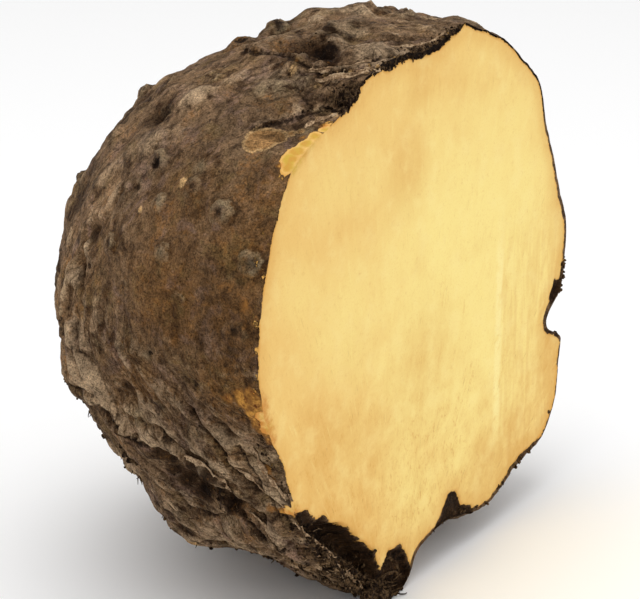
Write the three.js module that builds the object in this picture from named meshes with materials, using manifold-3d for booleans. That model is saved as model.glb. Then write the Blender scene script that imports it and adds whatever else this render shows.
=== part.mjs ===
// A cut piece of an elephant foot yam: a little more than half of one corm, in millimetres, +Z up.
// It lies as it rests on a table. The knife's cut is an upright plane that faces -Y, the skin
// bulges away from it towards +Y, and the origin is in the flat spot that it rests on.
// The corm grew as one body, so it is one solid. Its skin is drawn from three outlines that all
// run from the top of the cut to its bottom: the cut's left edge, its right edge, and the ridge
// round the back. Half an ellipse joins the three at each step. Warts, hollows and folds are
// raised on that surface, and a crevice is sunk into the cut beside the flesh.
import * as THREE from "three";
import { mergeVertices } from "three/addons/utils/BufferGeometryUtils.js";
import Module from "manifold-3d";

// The plane of the cut, in front of the origin.
const CUT_Y = -56;

// The cut's outline, seen from the front: [x, z] from its top point down each side to its bottom.
const LEFT_EDGE = [
  [26, 204], [12, 203], [-6, 201], [-24, 199], [-42, 198], [-58, 191.5], [-74, 186.5], [-88, 178], [-97, 165],
  [-105, 149], [-109, 131], [-109, 112], [-103, 94], [-96, 78], [-88, 61], [-75, 42], [-55, 23], [-36, 8], [-18, 0],
];
const RIGHT_EDGE = [
  [26, 204], [50, 195], [70, 183], [86, 164], [96, 142], [105, 122], [110.5, 101], [107, 78], [107, 56],
  [104, 36], [93, 22.5], [72, 17], [54, 12.5], [38, 14], [24, 16], [8, 14.5], [-3, 10.5], [-9, 3], [-18, 0],
];

// The ridge round the back: [x, depth behind the cut, z].
const BACK_RIDGE = [
  [26, 0, 204], [27, 24, 204], [22, 57, 201], [11, 92, 182], [1, 118, 151], [-5, 134, 114],
  [-8, 135, 75], [-8, 118, 38], [-4, 90, 11], [1, 60, -2], [0, 30, -5], [-18, 0, 0],
];

// A place on the skin is [share of the way from top to bottom in %, turn from the left edge in
// degrees], so 90 degrees is the back ridge and 180 the right edge. Warts and dents add their
// radius and how far they stand out of the skin, below zero for a dent.
const LEFT_SIDE_WARTS = [
  [40.3, 9, 6, 2], [44.5, 3, 6, 1.8], [51.5, 4, 7, 1.5], [36.7, 28, 7, 2], [40.3, 22, 6, 1.8],
  [45, 31, 6, 1.6], [44.8, 18, 5, 1.2], [54.7, 24, 6, 1.6], [38.3, 16, 6, 1], [37.8, 55, 8, 1.8],
  [35, 51, 7, 1.5], [32.3, 50, 7, 1.5], [28.5, 50, 9, 1.8], [20.5, 60, 8, 3], [17.3, 66, 6, 2.4],
  [14.5, 78, 8, 2.4], [10.3, 86, 8, 2.4], [50.5, 48, 12, 1.8], [56.2, 53, 9, 2], [59.3, 52, 11, 3.4], [32, 9, 6, 1.2],
];
const DENTS = [
  [31.8, 38, 7, -2], [16.8, 23, 7, -7], [44.5, 40, 9, -3], [47.8, 40, 9, -3], [53.5, 40, 8, -2.5],
  [59.3, 29, 8, -2], [57.8, 12, 6, -1.2], [43, 178, 6, -2], [64, 174, 7, -2], [28, 150, 10, -3],
];

// Notches in the skin's edge and broad lobes of the whole body.
const LOBES = [
  [50.2, 180, 11, -12], [45.6, 178, 7, 2], [75, 46, 28, 8], [58, 90, 40, 4], [30, 120, 36, 4],
  [44, 150, 30, -4], [70, 128, 34, 5], [22, 84, 26, -4], [64, 66, 26, -4],
];

// Folds and furrows: the places that each runs through, its half width and its height.
const FOLDS = [
  { path: [[63.7, 36], [67.7, 26], [68.2, 16], [71, 8], [75.3, 4]], halfWidth: 6, height: 4 },
  { path: [[69.8, 26], [70.5, 19], [73.3, 12]], halfWidth: 12, height: -9 },
  { path: [[60.5, 12], [63, 8], [65.2, 5]], halfWidth: 5, height: -3 },
  { path: [[77, 28], [77, 14], [80, 5]], halfWidth: 6, height: 3 },
  { path: [[53.3, 34], [58.3, 32], [62.5, 29], [66.7, 20]], halfWidth: 5, height: 2 },
  { path: [[50.3, 37], [56.3, 37], [62.5, 34]], halfWidth: 5, height: -2.5 },
  { path: [[48.3, 44], [56.5, 44], [64.5, 40], [70.5, 35]], halfWidth: 6, height: 2.5 },
  { path: [[18, 32], [15, 25], [11.5, 36]], halfWidth: 11, height: -4 },
  { path: [[21.5, 36], [20.8, 18], [16, 8]], halfWidth: 6, height: 2.5 },
  { path: [[31.8, 19], [28.8, 13], [25.8, 9], [23.8, 3]], halfWidth: 5, height: -2 },
  { path: [[30, 70], [36, 84], [38, 100], [35, 116]], halfWidth: 9, height: 3 },
  { path: [[52, 76], [57, 94], [56, 112], [50, 124]], halfWidth: 9, height: -3.5 },
  { path: [[74, 74], [72, 92], [75, 110], [71, 130]], halfWidth: 9, height: 3 },
  { path: [[18, 112], [27, 130], [37, 142]], halfWidth: 9, height: -3 },
  { path: [[56, 140], [64, 150], [70, 160]], halfWidth: 9, height: 3 },
];

// The warts of the hidden sides fill this range of turns evenly, each a little different.
const HIDDEN_WARTS = { count: 74, from: 60, to: 176, radius: 7, height: 2.4, lowest: 14 };

// Slow swelling of the whole skin: [height, waves per mm in x, y and z, phase].
const SWELLS = [
  [1.1, 0.062, 0.041, 0.055, 0.4],
  [0.8, -0.09, 0.083, 0.07, 1.9],
  [0.5, 0.13, 0.12, -0.15, 4.2],
];

// The crevice between the flesh and the skin at the foot of the cut, seen from the front, and how
// deep it is sunk.
const CREVICE = [
  [-80, 49], [-70, 48], [-58, 43], [-48, 35], [-37, 25], [-30, 13], [-34, 11.5], [-50, 24], [-66, 37],
];
const CREVICE_DEPTH = 9;

// The grid of the surface: rows from top to bottom, and columns round the skin and over the cut.
const ROWS = 76;
const SKIN_COLUMNS = 73;
const CUT_COLUMNS = 3;
const POLE_FADE = 0.025; // relief dies out over this share of the way at the top and bottom points

const wasm = await Module();
wasm.setup();

const degrees = THREE.MathUtils.degToRad;
const { lerp, smoothstep } = THREE.MathUtils;

// A smooth curve through points, read at a share of its length from 0 to 1.
function curveThrough(points) {
  const knots = [0];
  for (let i = 1; i < points.length; i++) {
    knots.push(knots[i - 1] + Math.hypot(...points[i].map((v, k) => v - points[i - 1][k])));
  }
  const last = points.length - 1;
  const slope = (i, k) => {
    const [a, b] = [Math.max(i - 1, 0), Math.min(i + 1, last)];
    return (points[b][k] - points[a][k]) / (knots[b] - knots[a]);
  };
  return (share) => {
    const at = share * knots[last];
    let i = 0;
    while (i < last - 1 && knots[i + 1] <= at) i++;
    const span = knots[i + 1] - knots[i];
    const t = (at - knots[i]) / span;
    return points[i].map(
      (start, k) =>
        start * (1 + 2 * t) * (1 - t) ** 2 +
        slope(i, k) * span * t * (1 - t) ** 2 +
        points[i + 1][k] * t * t * (3 - 2 * t) +
        slope(i + 1, k) * span * t * t * (t - 1),
    );
  };
}

const leftEdge = curveThrough(LEFT_EDGE);
const rightEdge = curveThrough(RIGHT_EDGE);
const backRidge = curveThrough(BACK_RIDGE);

// The plain skin, before its relief, at a share of the way down and a turn in radians.
function plainSkin(along, turn) {
  const [leftX, leftZ] = leftEdge(along);
  const [rightX, rightZ] = rightEdge(along);
  const [ridgeX, depth, ridgeZ] = backRidge(along);
  const [midX, midZ] = [(leftX + rightX) / 2, (leftZ + rightZ) / 2];
  const [c, s] = [Math.cos(turn), Math.sin(turn)];
  return new THREE.Vector3(
    midX + (leftX - midX) * c + (ridgeX - midX) * s,
    CUT_Y + depth * s,
    midZ + (leftZ - midZ) * c + (ridgeZ - midZ) * s,
  );
}

const place = ([along, turn]) => plainSkin(along / 100, degrees(turn));

// Evenly scattered warts: each step of the two shares lands in the widest gap left so far.
function hiddenWarts({ count, from, to, radius, height, lowest }) {
  const warts = [];
  for (let n = 1; n <= count; n++) {
    const [u, v] = [(n * 0.7549) % 1, (n * 0.5698) % 1];
    const at = [(100 * Math.acos(1 - 2 * u)) / Math.PI, lerp(from, to, v)];
    const size = 0.75 + 0.5 * ((n * 0.618) % 1);
    if (place(at).z > lowest) warts.push([...at, radius * size, height * size]);
  }
  return warts;
}

const warts = [...LEFT_SIDE_WARTS, ...hiddenWarts(HIDDEN_WARTS)];
const marks = [...warts, ...DENTS, ...LOBES].map(([along, turn, radius, height]) => ({
  centre: place([along, turn]),
  radius,
  height,
}));
const folds = FOLDS.map(({ path, halfWidth, height }) => ({ line: path.map(place), halfWidth, height }));

// A rounded hump of height 1 that ends at distance 1.
const hump = (distance) => (distance < 1 ? (1 - distance * distance) ** 2 : 0);

function distanceToLine(point, line) {
  const nearest = new THREE.Vector3();
  const distances = line.slice(1).map((end, i) => {
    new THREE.Line3(line[i], end).closestPointToPoint(point, true, nearest);
    return nearest.distanceTo(point);
  });
  return Math.min(...distances);
}

// How far the skin stands out of the plain surface at a point of it.
function relief(point) {
  let height = 0;
  for (const mark of marks) height += mark.height * hump(point.distanceTo(mark.centre) / mark.radius);
  for (const fold of folds) height += fold.height * hump(distanceToLine(point, fold.line) / fold.halfWidth);
  for (const [swell, x, y, z, phase] of SWELLS) {
    height += swell * Math.sin(x * point.x + y * point.y + z * point.z + phase);
  }
  return height;
}

// The finished skin. Its two edges stay in the plane of the cut, and what would reach below the
// surface that the piece rests on is flat. Relief never brings the skin up to the plane of the cut.
function skin(along, turn) {
  const step = 1e-3;
  const point = plainSkin(along, turn);
  const nearest = (CUT_Y + point.y) / 2;
  const down = plainSkin(Math.min(along + step, 1), turn).sub(plainSkin(Math.max(along - step, 0), turn));
  const round = plainSkin(along, turn + step).sub(plainSkin(along, turn - step));
  const outward = round.cross(down);
  const onEdge = turn <= 0 || turn >= Math.PI;
  if (onEdge) outward.y = 0;
  const fade = smoothstep(along, 0, POLE_FADE) * smoothstep(1 - along, 0, POLE_FADE);
  point.addScaledVector(outward.normalize(), relief(point) * fade);
  point.y = onEdge ? CUT_Y : Math.max(point.y, nearest);
  point.z = Math.max(point.z, 0);
  return point;
}

// The closed surface, shaped from a sphere whose poles become the top and the bottom of the cut.
// The grid point next to each wart is moved to its middle, so that none is lost between the rows.
function cormGeometry() {
  const columns = SKIN_COLUMNS + CUT_COLUMNS;
  const geometry = new THREE.SphereGeometry(1, columns, ROWS);
  const { position, uv } = geometry.attributes;
  const onWart = new Map();
  for (const [along, turn] of warts) {
    const row = Math.round((along / 100) * ROWS);
    const column = Math.round((1 - turn / 180) * SKIN_COLUMNS);
    if (column > 0 && column < SKIN_COLUMNS) onWart.set(row * (columns + 1) + column, [along / 100, degrees(turn)]);
  }
  for (let i = 0; i < position.count; i++) {
    const along = 1 - uv.getY(i);
    const column = uv.getX(i) * columns;
    const turn = Math.PI * (1 - column / SKIN_COLUMNS);
    let point;
    if (onWart.has(i)) point = skin(...onWart.get(i));
    else if (column <= SKIN_COLUMNS) point = skin(along, Math.max(turn, 0));
    else point = skin(along, 0).lerp(skin(along, Math.PI), (column - SKIN_COLUMNS) / CUT_COLUMNS);
    position.setXYZ(i, point.x, point.y, point.z);
  }
  geometry.deleteAttribute("normal");
  geometry.deleteAttribute("uv");
  return mergeVertices(geometry, 1e-3);
}

// The hole of the crevice, drawn from the front and pushed back into the corm.
function creviceGeometry() {
  const front = 1;
  const outline = new THREE.Shape(CREVICE.map(([x, z]) => new THREE.Vector2(x, z)));
  const geometry = new THREE.ExtrudeGeometry(outline, { depth: CREVICE_DEPTH + front, bevelEnabled: false });
  geometry.rotateX(Math.PI / 2);
  geometry.translate(0, CUT_Y + CREVICE_DEPTH, 0);
  geometry.deleteAttribute("normal");
  geometry.deleteAttribute("uv");
  return mergeVertices(geometry, 1e-3);
}

function toSolid(geometry) {
  const vertProperties = new Float32Array(geometry.attributes.position.array);
  const triVerts = new Uint32Array(geometry.index.array);
  return new wasm.Manifold(new wasm.Mesh({ numProp: 3, vertProperties, triVerts }));
}

function toGeometry(solid) {
  const { vertProperties, triVerts } = solid.getMesh();
  const geometry = new THREE.BufferGeometry();
  geometry.setAttribute("position", new THREE.Float32BufferAttribute(vertProperties, 3));
  geometry.setIndex([...triVerts]);
  geometry.computeVertexNormals();
  return geometry;
}

const corm = new THREE.Mesh(
  toGeometry(toSolid(cormGeometry()).subtract(toSolid(creviceGeometry()))),
  new THREE.MeshStandardMaterial({ color: 0x5d4737, roughness: 0.85, metalness: 0 }),
);
corm.name = "corm_piece";
const yam = new THREE.Group();
yam.add(corm);
export default yam;
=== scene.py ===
# The looks of a cut piece of elephant foot yam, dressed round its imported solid.
# The frame is in metres, +Z up: the cut faces -Y and the skin bulges towards +Y.
# The lists of places and sizes below are in millimetres and repeat the solid's own outlines.
# A place on the skin is the share of the way down in % and the turn round the skin in degrees.
import math
import random

import bpy
import numpy as np
from mathutils import Euler, Matrix, Vector, noise


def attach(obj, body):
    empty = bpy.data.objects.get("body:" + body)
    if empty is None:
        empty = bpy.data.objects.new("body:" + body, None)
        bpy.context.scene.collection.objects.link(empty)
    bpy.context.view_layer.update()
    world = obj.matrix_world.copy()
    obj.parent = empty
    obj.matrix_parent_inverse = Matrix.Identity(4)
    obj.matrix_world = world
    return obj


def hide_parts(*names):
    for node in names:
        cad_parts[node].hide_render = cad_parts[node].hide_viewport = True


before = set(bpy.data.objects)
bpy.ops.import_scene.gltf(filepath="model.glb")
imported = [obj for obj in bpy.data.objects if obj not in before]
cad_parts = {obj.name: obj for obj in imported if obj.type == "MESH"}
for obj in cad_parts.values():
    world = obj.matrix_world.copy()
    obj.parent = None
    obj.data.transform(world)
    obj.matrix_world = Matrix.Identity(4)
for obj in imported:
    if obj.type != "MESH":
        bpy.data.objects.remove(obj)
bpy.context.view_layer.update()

bl_info = {
    "name": "Cut elephant foot yam",
    "version": (1, 0, 0),
    "blender": (4, 5, 0),
    "location": "3D View > Sidebar > Yam",
    "description": "Builds a cut yam corm with its skin, flesh, soil and roots",
    "category": "Object",
}

MM = 0.001
NODE = "corm_piece"
BODY = "root"

# The solid's shape: the plane of the cut, its two edges from the top to the foot as [x, z], and the
# ridge at the back as [x, how far behind the cut, z]
CUT_Y = -56
LEFT_EDGE = [
    [26, 204], [12, 203], [-6, 201], [-24, 199], [-42, 198], [-58, 191.5], [-74, 186.5], [-88, 178],
    [-97, 165], [-105, 149], [-109, 131], [-109, 112], [-103, 94], [-96, 78], [-88, 61], [-75, 42],
    [-55, 23], [-36, 8], [-18, 0],
]
RIGHT_EDGE = [
    [26, 204], [50, 195], [70, 183], [86, 164], [96, 142], [105, 122], [110.5, 101], [107, 78], [107, 56],
    [104, 36], [93, 22.5], [72, 17], [54, 12.5], [38, 14], [24, 16], [8, 14.5], [-3, 10.5], [-9, 3],
    [-18, 0],
]
BACK_RIDGE = [
    [26, 0, 204], [27, 24, 204], [22, 57, 201], [11, 92, 182], [1, 118, 151], [-5, 134, 114], [-8, 135, 75],
    [-8, 118, 38], [-4, 90, 11], [1, 60, -2], [0, 30, -5], [-18, 0, 0],
]
# Warts, dents and lobes: place, radius, height
LEFT_SIDE_WARTS = [
    [40.3, 9, 6, 2], [44.5, 3, 6, 1.8], [51.5, 4, 7, 1.5], [36.7, 28, 7, 2], [40.3, 22, 6, 1.8],
    [45, 31, 6, 1.6], [44.8, 18, 5, 1.2], [54.7, 24, 6, 1.6], [38.3, 16, 6, 1], [37.8, 55, 8, 1.8],
    [35, 51, 7, 1.5], [32.3, 50, 7, 1.5], [28.5, 50, 9, 1.8], [20.5, 60, 8, 3], [17.3, 66, 6, 2.4],
    [14.5, 78, 8, 2.4], [10.3, 86, 8, 2.4], [50.5, 48, 12, 1.8], [56.2, 53, 9, 2], [59.3, 52, 11, 3.4],
    [32, 9, 6, 1.2],
]
DENTS = [
    [31.8, 38, 7, -2], [16.8, 23, 7, -7], [44.5, 40, 9, -3], [47.8, 40, 9, -3], [53.5, 40, 8, -2.5],
    [59.3, 29, 8, -2], [57.8, 12, 6, -1.2], [43, 178, 6, -2], [64, 174, 7, -2], [28, 150, 10, -3],
]
LOBES = [
    [50.2, 180, 11, -12], [45.6, 178, 7, 2], [75, 46, 28, 8], [58, 90, 40, 4], [30, 120, 36, 4],
    [44, 150, 30, -4], [70, 128, 34, 5], [22, 84, 26, -4], [64, 66, 26, -4],
]
# Folds: half width, height, the line of places that they run along
FOLDS = [
    (6, 4, [[63.7, 36], [67.7, 26], [68.2, 16], [71, 8], [75.3, 4]]),
    (12, -9, [[69.8, 26], [70.5, 19], [73.3, 12]]),
    (5, -3, [[60.5, 12], [63, 8], [65.2, 5]]),
    (6, 3, [[77, 28], [77, 14], [80, 5]]),
    (5, 2, [[53.3, 34], [58.3, 32], [62.5, 29], [66.7, 20]]),
    (5, -2.5, [[50.3, 37], [56.3, 37], [62.5, 34]]),
    (6, 2.5, [[48.3, 44], [56.5, 44], [64.5, 40], [70.5, 35]]),
    (11, -4, [[18, 32], [15, 25], [11.5, 36]]),
    (6, 2.5, [[21.5, 36], [20.8, 18], [16, 8]]),
    (5, -2, [[31.8, 19], [28.8, 13], [25.8, 9], [23.8, 3]]),
    (9, 3, [[30, 70], [36, 84], [38, 100], [35, 116]]),
    (9, -3.5, [[52, 76], [57, 94], [56, 112], [50, 124]]),
    (9, 3, [[74, 74], [72, 92], [75, 110], [71, 130]]),
    (9, -3, [[18, 112], [27, 130], [37, 142]]),
    (9, 3, [[56, 140], [64, 150], [70, 160]]),
]
# Warts of the side that the photo hides, between two turns and above a lowest height
HIDDEN_WARTS = {"count": 74, "start": 60, "end": 176, "radius": 7, "height": 2.4, "lowest": 14}
# Broad waves of the skin: height, how fast they run along x, y and z, and where they start
SWELLS = [
    [1.1, 0.062, 0.041, 0.055, 0.4], [0.8, -0.09, 0.083, 0.07, 1.9], [0.5, 0.13, 0.12, -0.15, 4.2],
]
# The crevice at the foot of the cut, drawn from the front as [x, z]
CREVICE = [
    [-80, 49], [-70, 48], [-58, 43], [-48, 35], [-37, 25], [-30, 13], [-34, 11.5], [-50, 24], [-66, 37],
]
# The relief fades out in this share of the way at the top and at the foot
POLE_FADE = 0.025

# Finer relief that only the dressed corm has.
# A ringed scar: place, radius, rim height, pit depth, how pale its rim is, how dark its pit is
SCARS = [
    [40.3, 9, 4.6, 0.9, 0.9, 0.9, 0.8], [44.5, 2.5, 4.6, 0.9, 0.7, 0.9, 0.5],
    [51.5, 4, 5, 0.6, 0.6, 0.3, 0.5], [36.7, 28, 5.2, 0.9, 1.5, 0.5, 1],
    [31.8, 38, 5.2, 0.6, 1.2, 0.3, 0.9], [45, 31, 4, 0.8, 0.8, 0.6, 0.7], [40.3, 22, 3.6, 0.7, 0, 0.5, 0],
    [44.8, 18, 3.6, 0.5, 0.3, 0.6, 0.3], [54.7, 20, 2.8, 0, 0.8, 0, 0.9], [54.7, 26, 3.2, 0.6, 0.2, 0.6, 0],
    [57.8, 12, 4, 0.3, 0.9, 0, 0.8], [38.3, 16, 4, 0.7, 0.6, 0.4, 0.6], [39.3, 30, 3.6, 0.5, 0.9, 0.2, 0.8],
    [61, 22, 4, 0.5, 0.5, 0.3, 0.3], [49, 14, 3, 0.4, 0.3, 0.3, 0.3], [48.5, 25, 3, 0.5, 0.4, 0.3, 0.4],
    [35, 51, 4, 0.6, 0.6, 0.3, 0.5], [28.5, 50, 4.5, 0.6, 0.8, 0.3, 0.6],
    [20.5, 58, 4.5, 0.5, 1.2, 0.2, 0.9], [26, 36, 3.5, 0.5, 0.5, 0.3, 0.4],
    [47.5, 36, 3, 0.3, 0.8, 0.2, 0.8],
]
# Soft forms that open the hollows towards the photo's side: place, radius, height
MOULDS = [
    [18.6, 17, 12, -4], [18.8, 10, 7, -1.5], [14.3, 33, 10, 2.5], [9.5, 74, 5, 2], [13.5, 62, 5, 1.6],
    [67.6, 27, 9, -4], [67, 22.5, 6, -1.5], [64.4, 28, 7, 1.5], [64.8, 22.5, 6, 1], [72.2, 26, 8, -2.5],
    [73.6, 18, 6, -2], [37.8, 55, 8, -1.5], [50.5, 48, 12, -1.5], [55, 55, 10, -1.2], [68, 24, 6, -2],
    [68.6, 18, 6, -2], [70, 13, 5, -1.5], [40.2, 61.6, 9, -2.6], [49.4, 66, 9, -2.6], [31.3, 10.4, 5, -0.6],
    [30.9, 8.4, 5, -0.6], [31.8, 38, 8, -1.6], [16.2, 32, 9, -2], [29, 33, 11, 1.5], [34.6, 33, 9, 1.2],
]
# A ledge, where the bark above its line is thicker: height, how far it fades out, how dark the painted
# shade just under its line is, and its line
LEDGES = [
    (1.4, 9, 0.85, [[30.4, 12.6], [29, 10.6], [27.2, 8.2], [25.6, 5.6], [24, 2]]),
    (2, 12, 0.9, [[21.5, 36], [20.3, 26], [20.9, 16], [20.6, 9], [19.4, 4], [17.5, 0]]),
    (2.8, 8, 1, [
        [61.2, 38.5], [64, 34], [65.4, 28], [66.4, 22.5], [68.4, 18], [70, 14.5], [73.4, 13], [75.8, 11],
        [78.2, 8.5],
    ]),
    (1.2, 7, 0.8, [[64.5, 7], [68, 5], [72, 3.4], [75, 1]]),
    (0.9, 10, 0.3, [[14, 60], [12.5, 40], [9, 20], [5, 8]]),
    (1.2, 8, 0.6, [[52, 44], [57, 43], [63, 38], [67, 32]]),
]
# A furrow of the bark: depth, half its width, how dark the painted shade in it is, and its line
FURROWS = [
    (2, 1.4, 1, [[61, 14.5], [64.4, 11], [67.8, 10], [70.6, 5], [72, 2]]),
    (1.8, 1.4, 0.8, [[57.4, 55], [60, 50], [60.8, 44], [62.5, 40], [65, 36]]),
    (1.6, 1.3, 0.7, [[50, 42], [53.2, 43], [56.4, 44], [58.8, 43.5], [60.6, 39]]),
    (1.6, 1.5, 0.8, [[67.6, 54], [68.2, 40], [70.6, 36], [73.5, 36], [75.2, 30], [74.8, 18]]),
    (1.1, 1.2, 0.5, [[62, 31], [63.5, 24], [66, 20], [66.6, 15]]),
    (2, 1.5, 1, [[74.8, 18], [76.4, 14], [79, 11], [81, 7]]),
    (1.1, 1.5, 0.4, [[47.6, 42.5], [44.4, 42], [43, 36], [41.8, 35], [40, 34]]),
    (2, 1.6, 1, [[46.6, 41.5], [47.6, 40], [49.6, 38.5]]),
    (1.2, 1.3, 0.6, [[53.6, 41.5], [56, 38], [58.4, 35], [60, 30]]),
    (1.3, 1.4, 0.7, [[16.5, 26], [15, 34], [13, 41]]),
    (1.3, 1.3, 0.8, [[16, 20], [13.8, 17], [11.5, 19], [9, 16]]),
    (1.1, 1.4, 0.5, [[17.6, 28], [18.6, 38], [17.4, 48]]),
    (1, 1.5, 0.6, [[22.4, 19], [24, 12], [25.2, 7]]),
    (1.5, 1.4, 0.9, [[21.2, 48], [20.5, 42]]),
    (0.9, 1, 0.7, [[20.2, 12], [18.8, 7], [17, 3], [14, 2]]),
    (0.9, 1, 0.7, [[12, 10], [9.5, 7], [6, 5]]),
    (1.6, 1.5, 0.9, [[82, 30], [83, 16], [86, 8], [90, 4]]),
    (1.3, 1.4, 0.6, [[77, 44], [79, 30], [80, 20]]),
]
# How much further away than a black furrow a faint one reads
FAINT = 1.4
# Furrows of the side that the photo hides, spread by a rule
HIDDEN_FURROWS = {"count": 16, "depth": 1.3, "width": 1.5, "dark": 0.6}
# The two points that the streaks of the bark run round, one for the lower half and one for the
# top, and the heights between which the second takes over
LOWER_EYE = (-109, CUT_Y, 128)
UPPER_EYE = (-7, CUT_Y, 80)
EYE_CHANGE = (110, 160)
# The wrinkles of the bark and its painted lines: how wide they are, how long
WIDE_WRINKLES = (7.5, 34)
NARROW_WRINKLES = (3.2, 16)
PAINTED_LINES = (1.5, 9)
# The middle of the smoother skin beside the cut, and between which distances it fades
CALM = (43, 13)
CALM_FADE = (20, 68)
# Where the bark is smoother: place, radius, strength
QUIET = [
    [8, 42, 26, 0.8], [13, 60, 26, 0.7], [22, 46, 34, 0.6], [31, 34, 34, 0.75], [36, 24, 26, 0.6],
    [42, 38, 26, 0.4],
]
# A ringed scar in shares of its radius: where its rim is and how wide, how wide its pit is, where the
# moat round it is and how wide, and the way in which its rim is broadest
SCAR_RIM = (0.8, 0.17)
SCAR_PIT = 0.42
SCAR_MOAT = (1.25, 0.25)
RIM_SIDE = (0.37, -0.6, 0.7)
# The distance to a scar, in its radii, and to a furrow that is read where there is none
NO_SCAR = 3.0
NO_FURROW = 8.0
# The share of the finer relief that is left at the edge of the cut, and how far behind it all is back
EDGE_HOLD = 0.45
EDGE_FADE = 6
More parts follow.
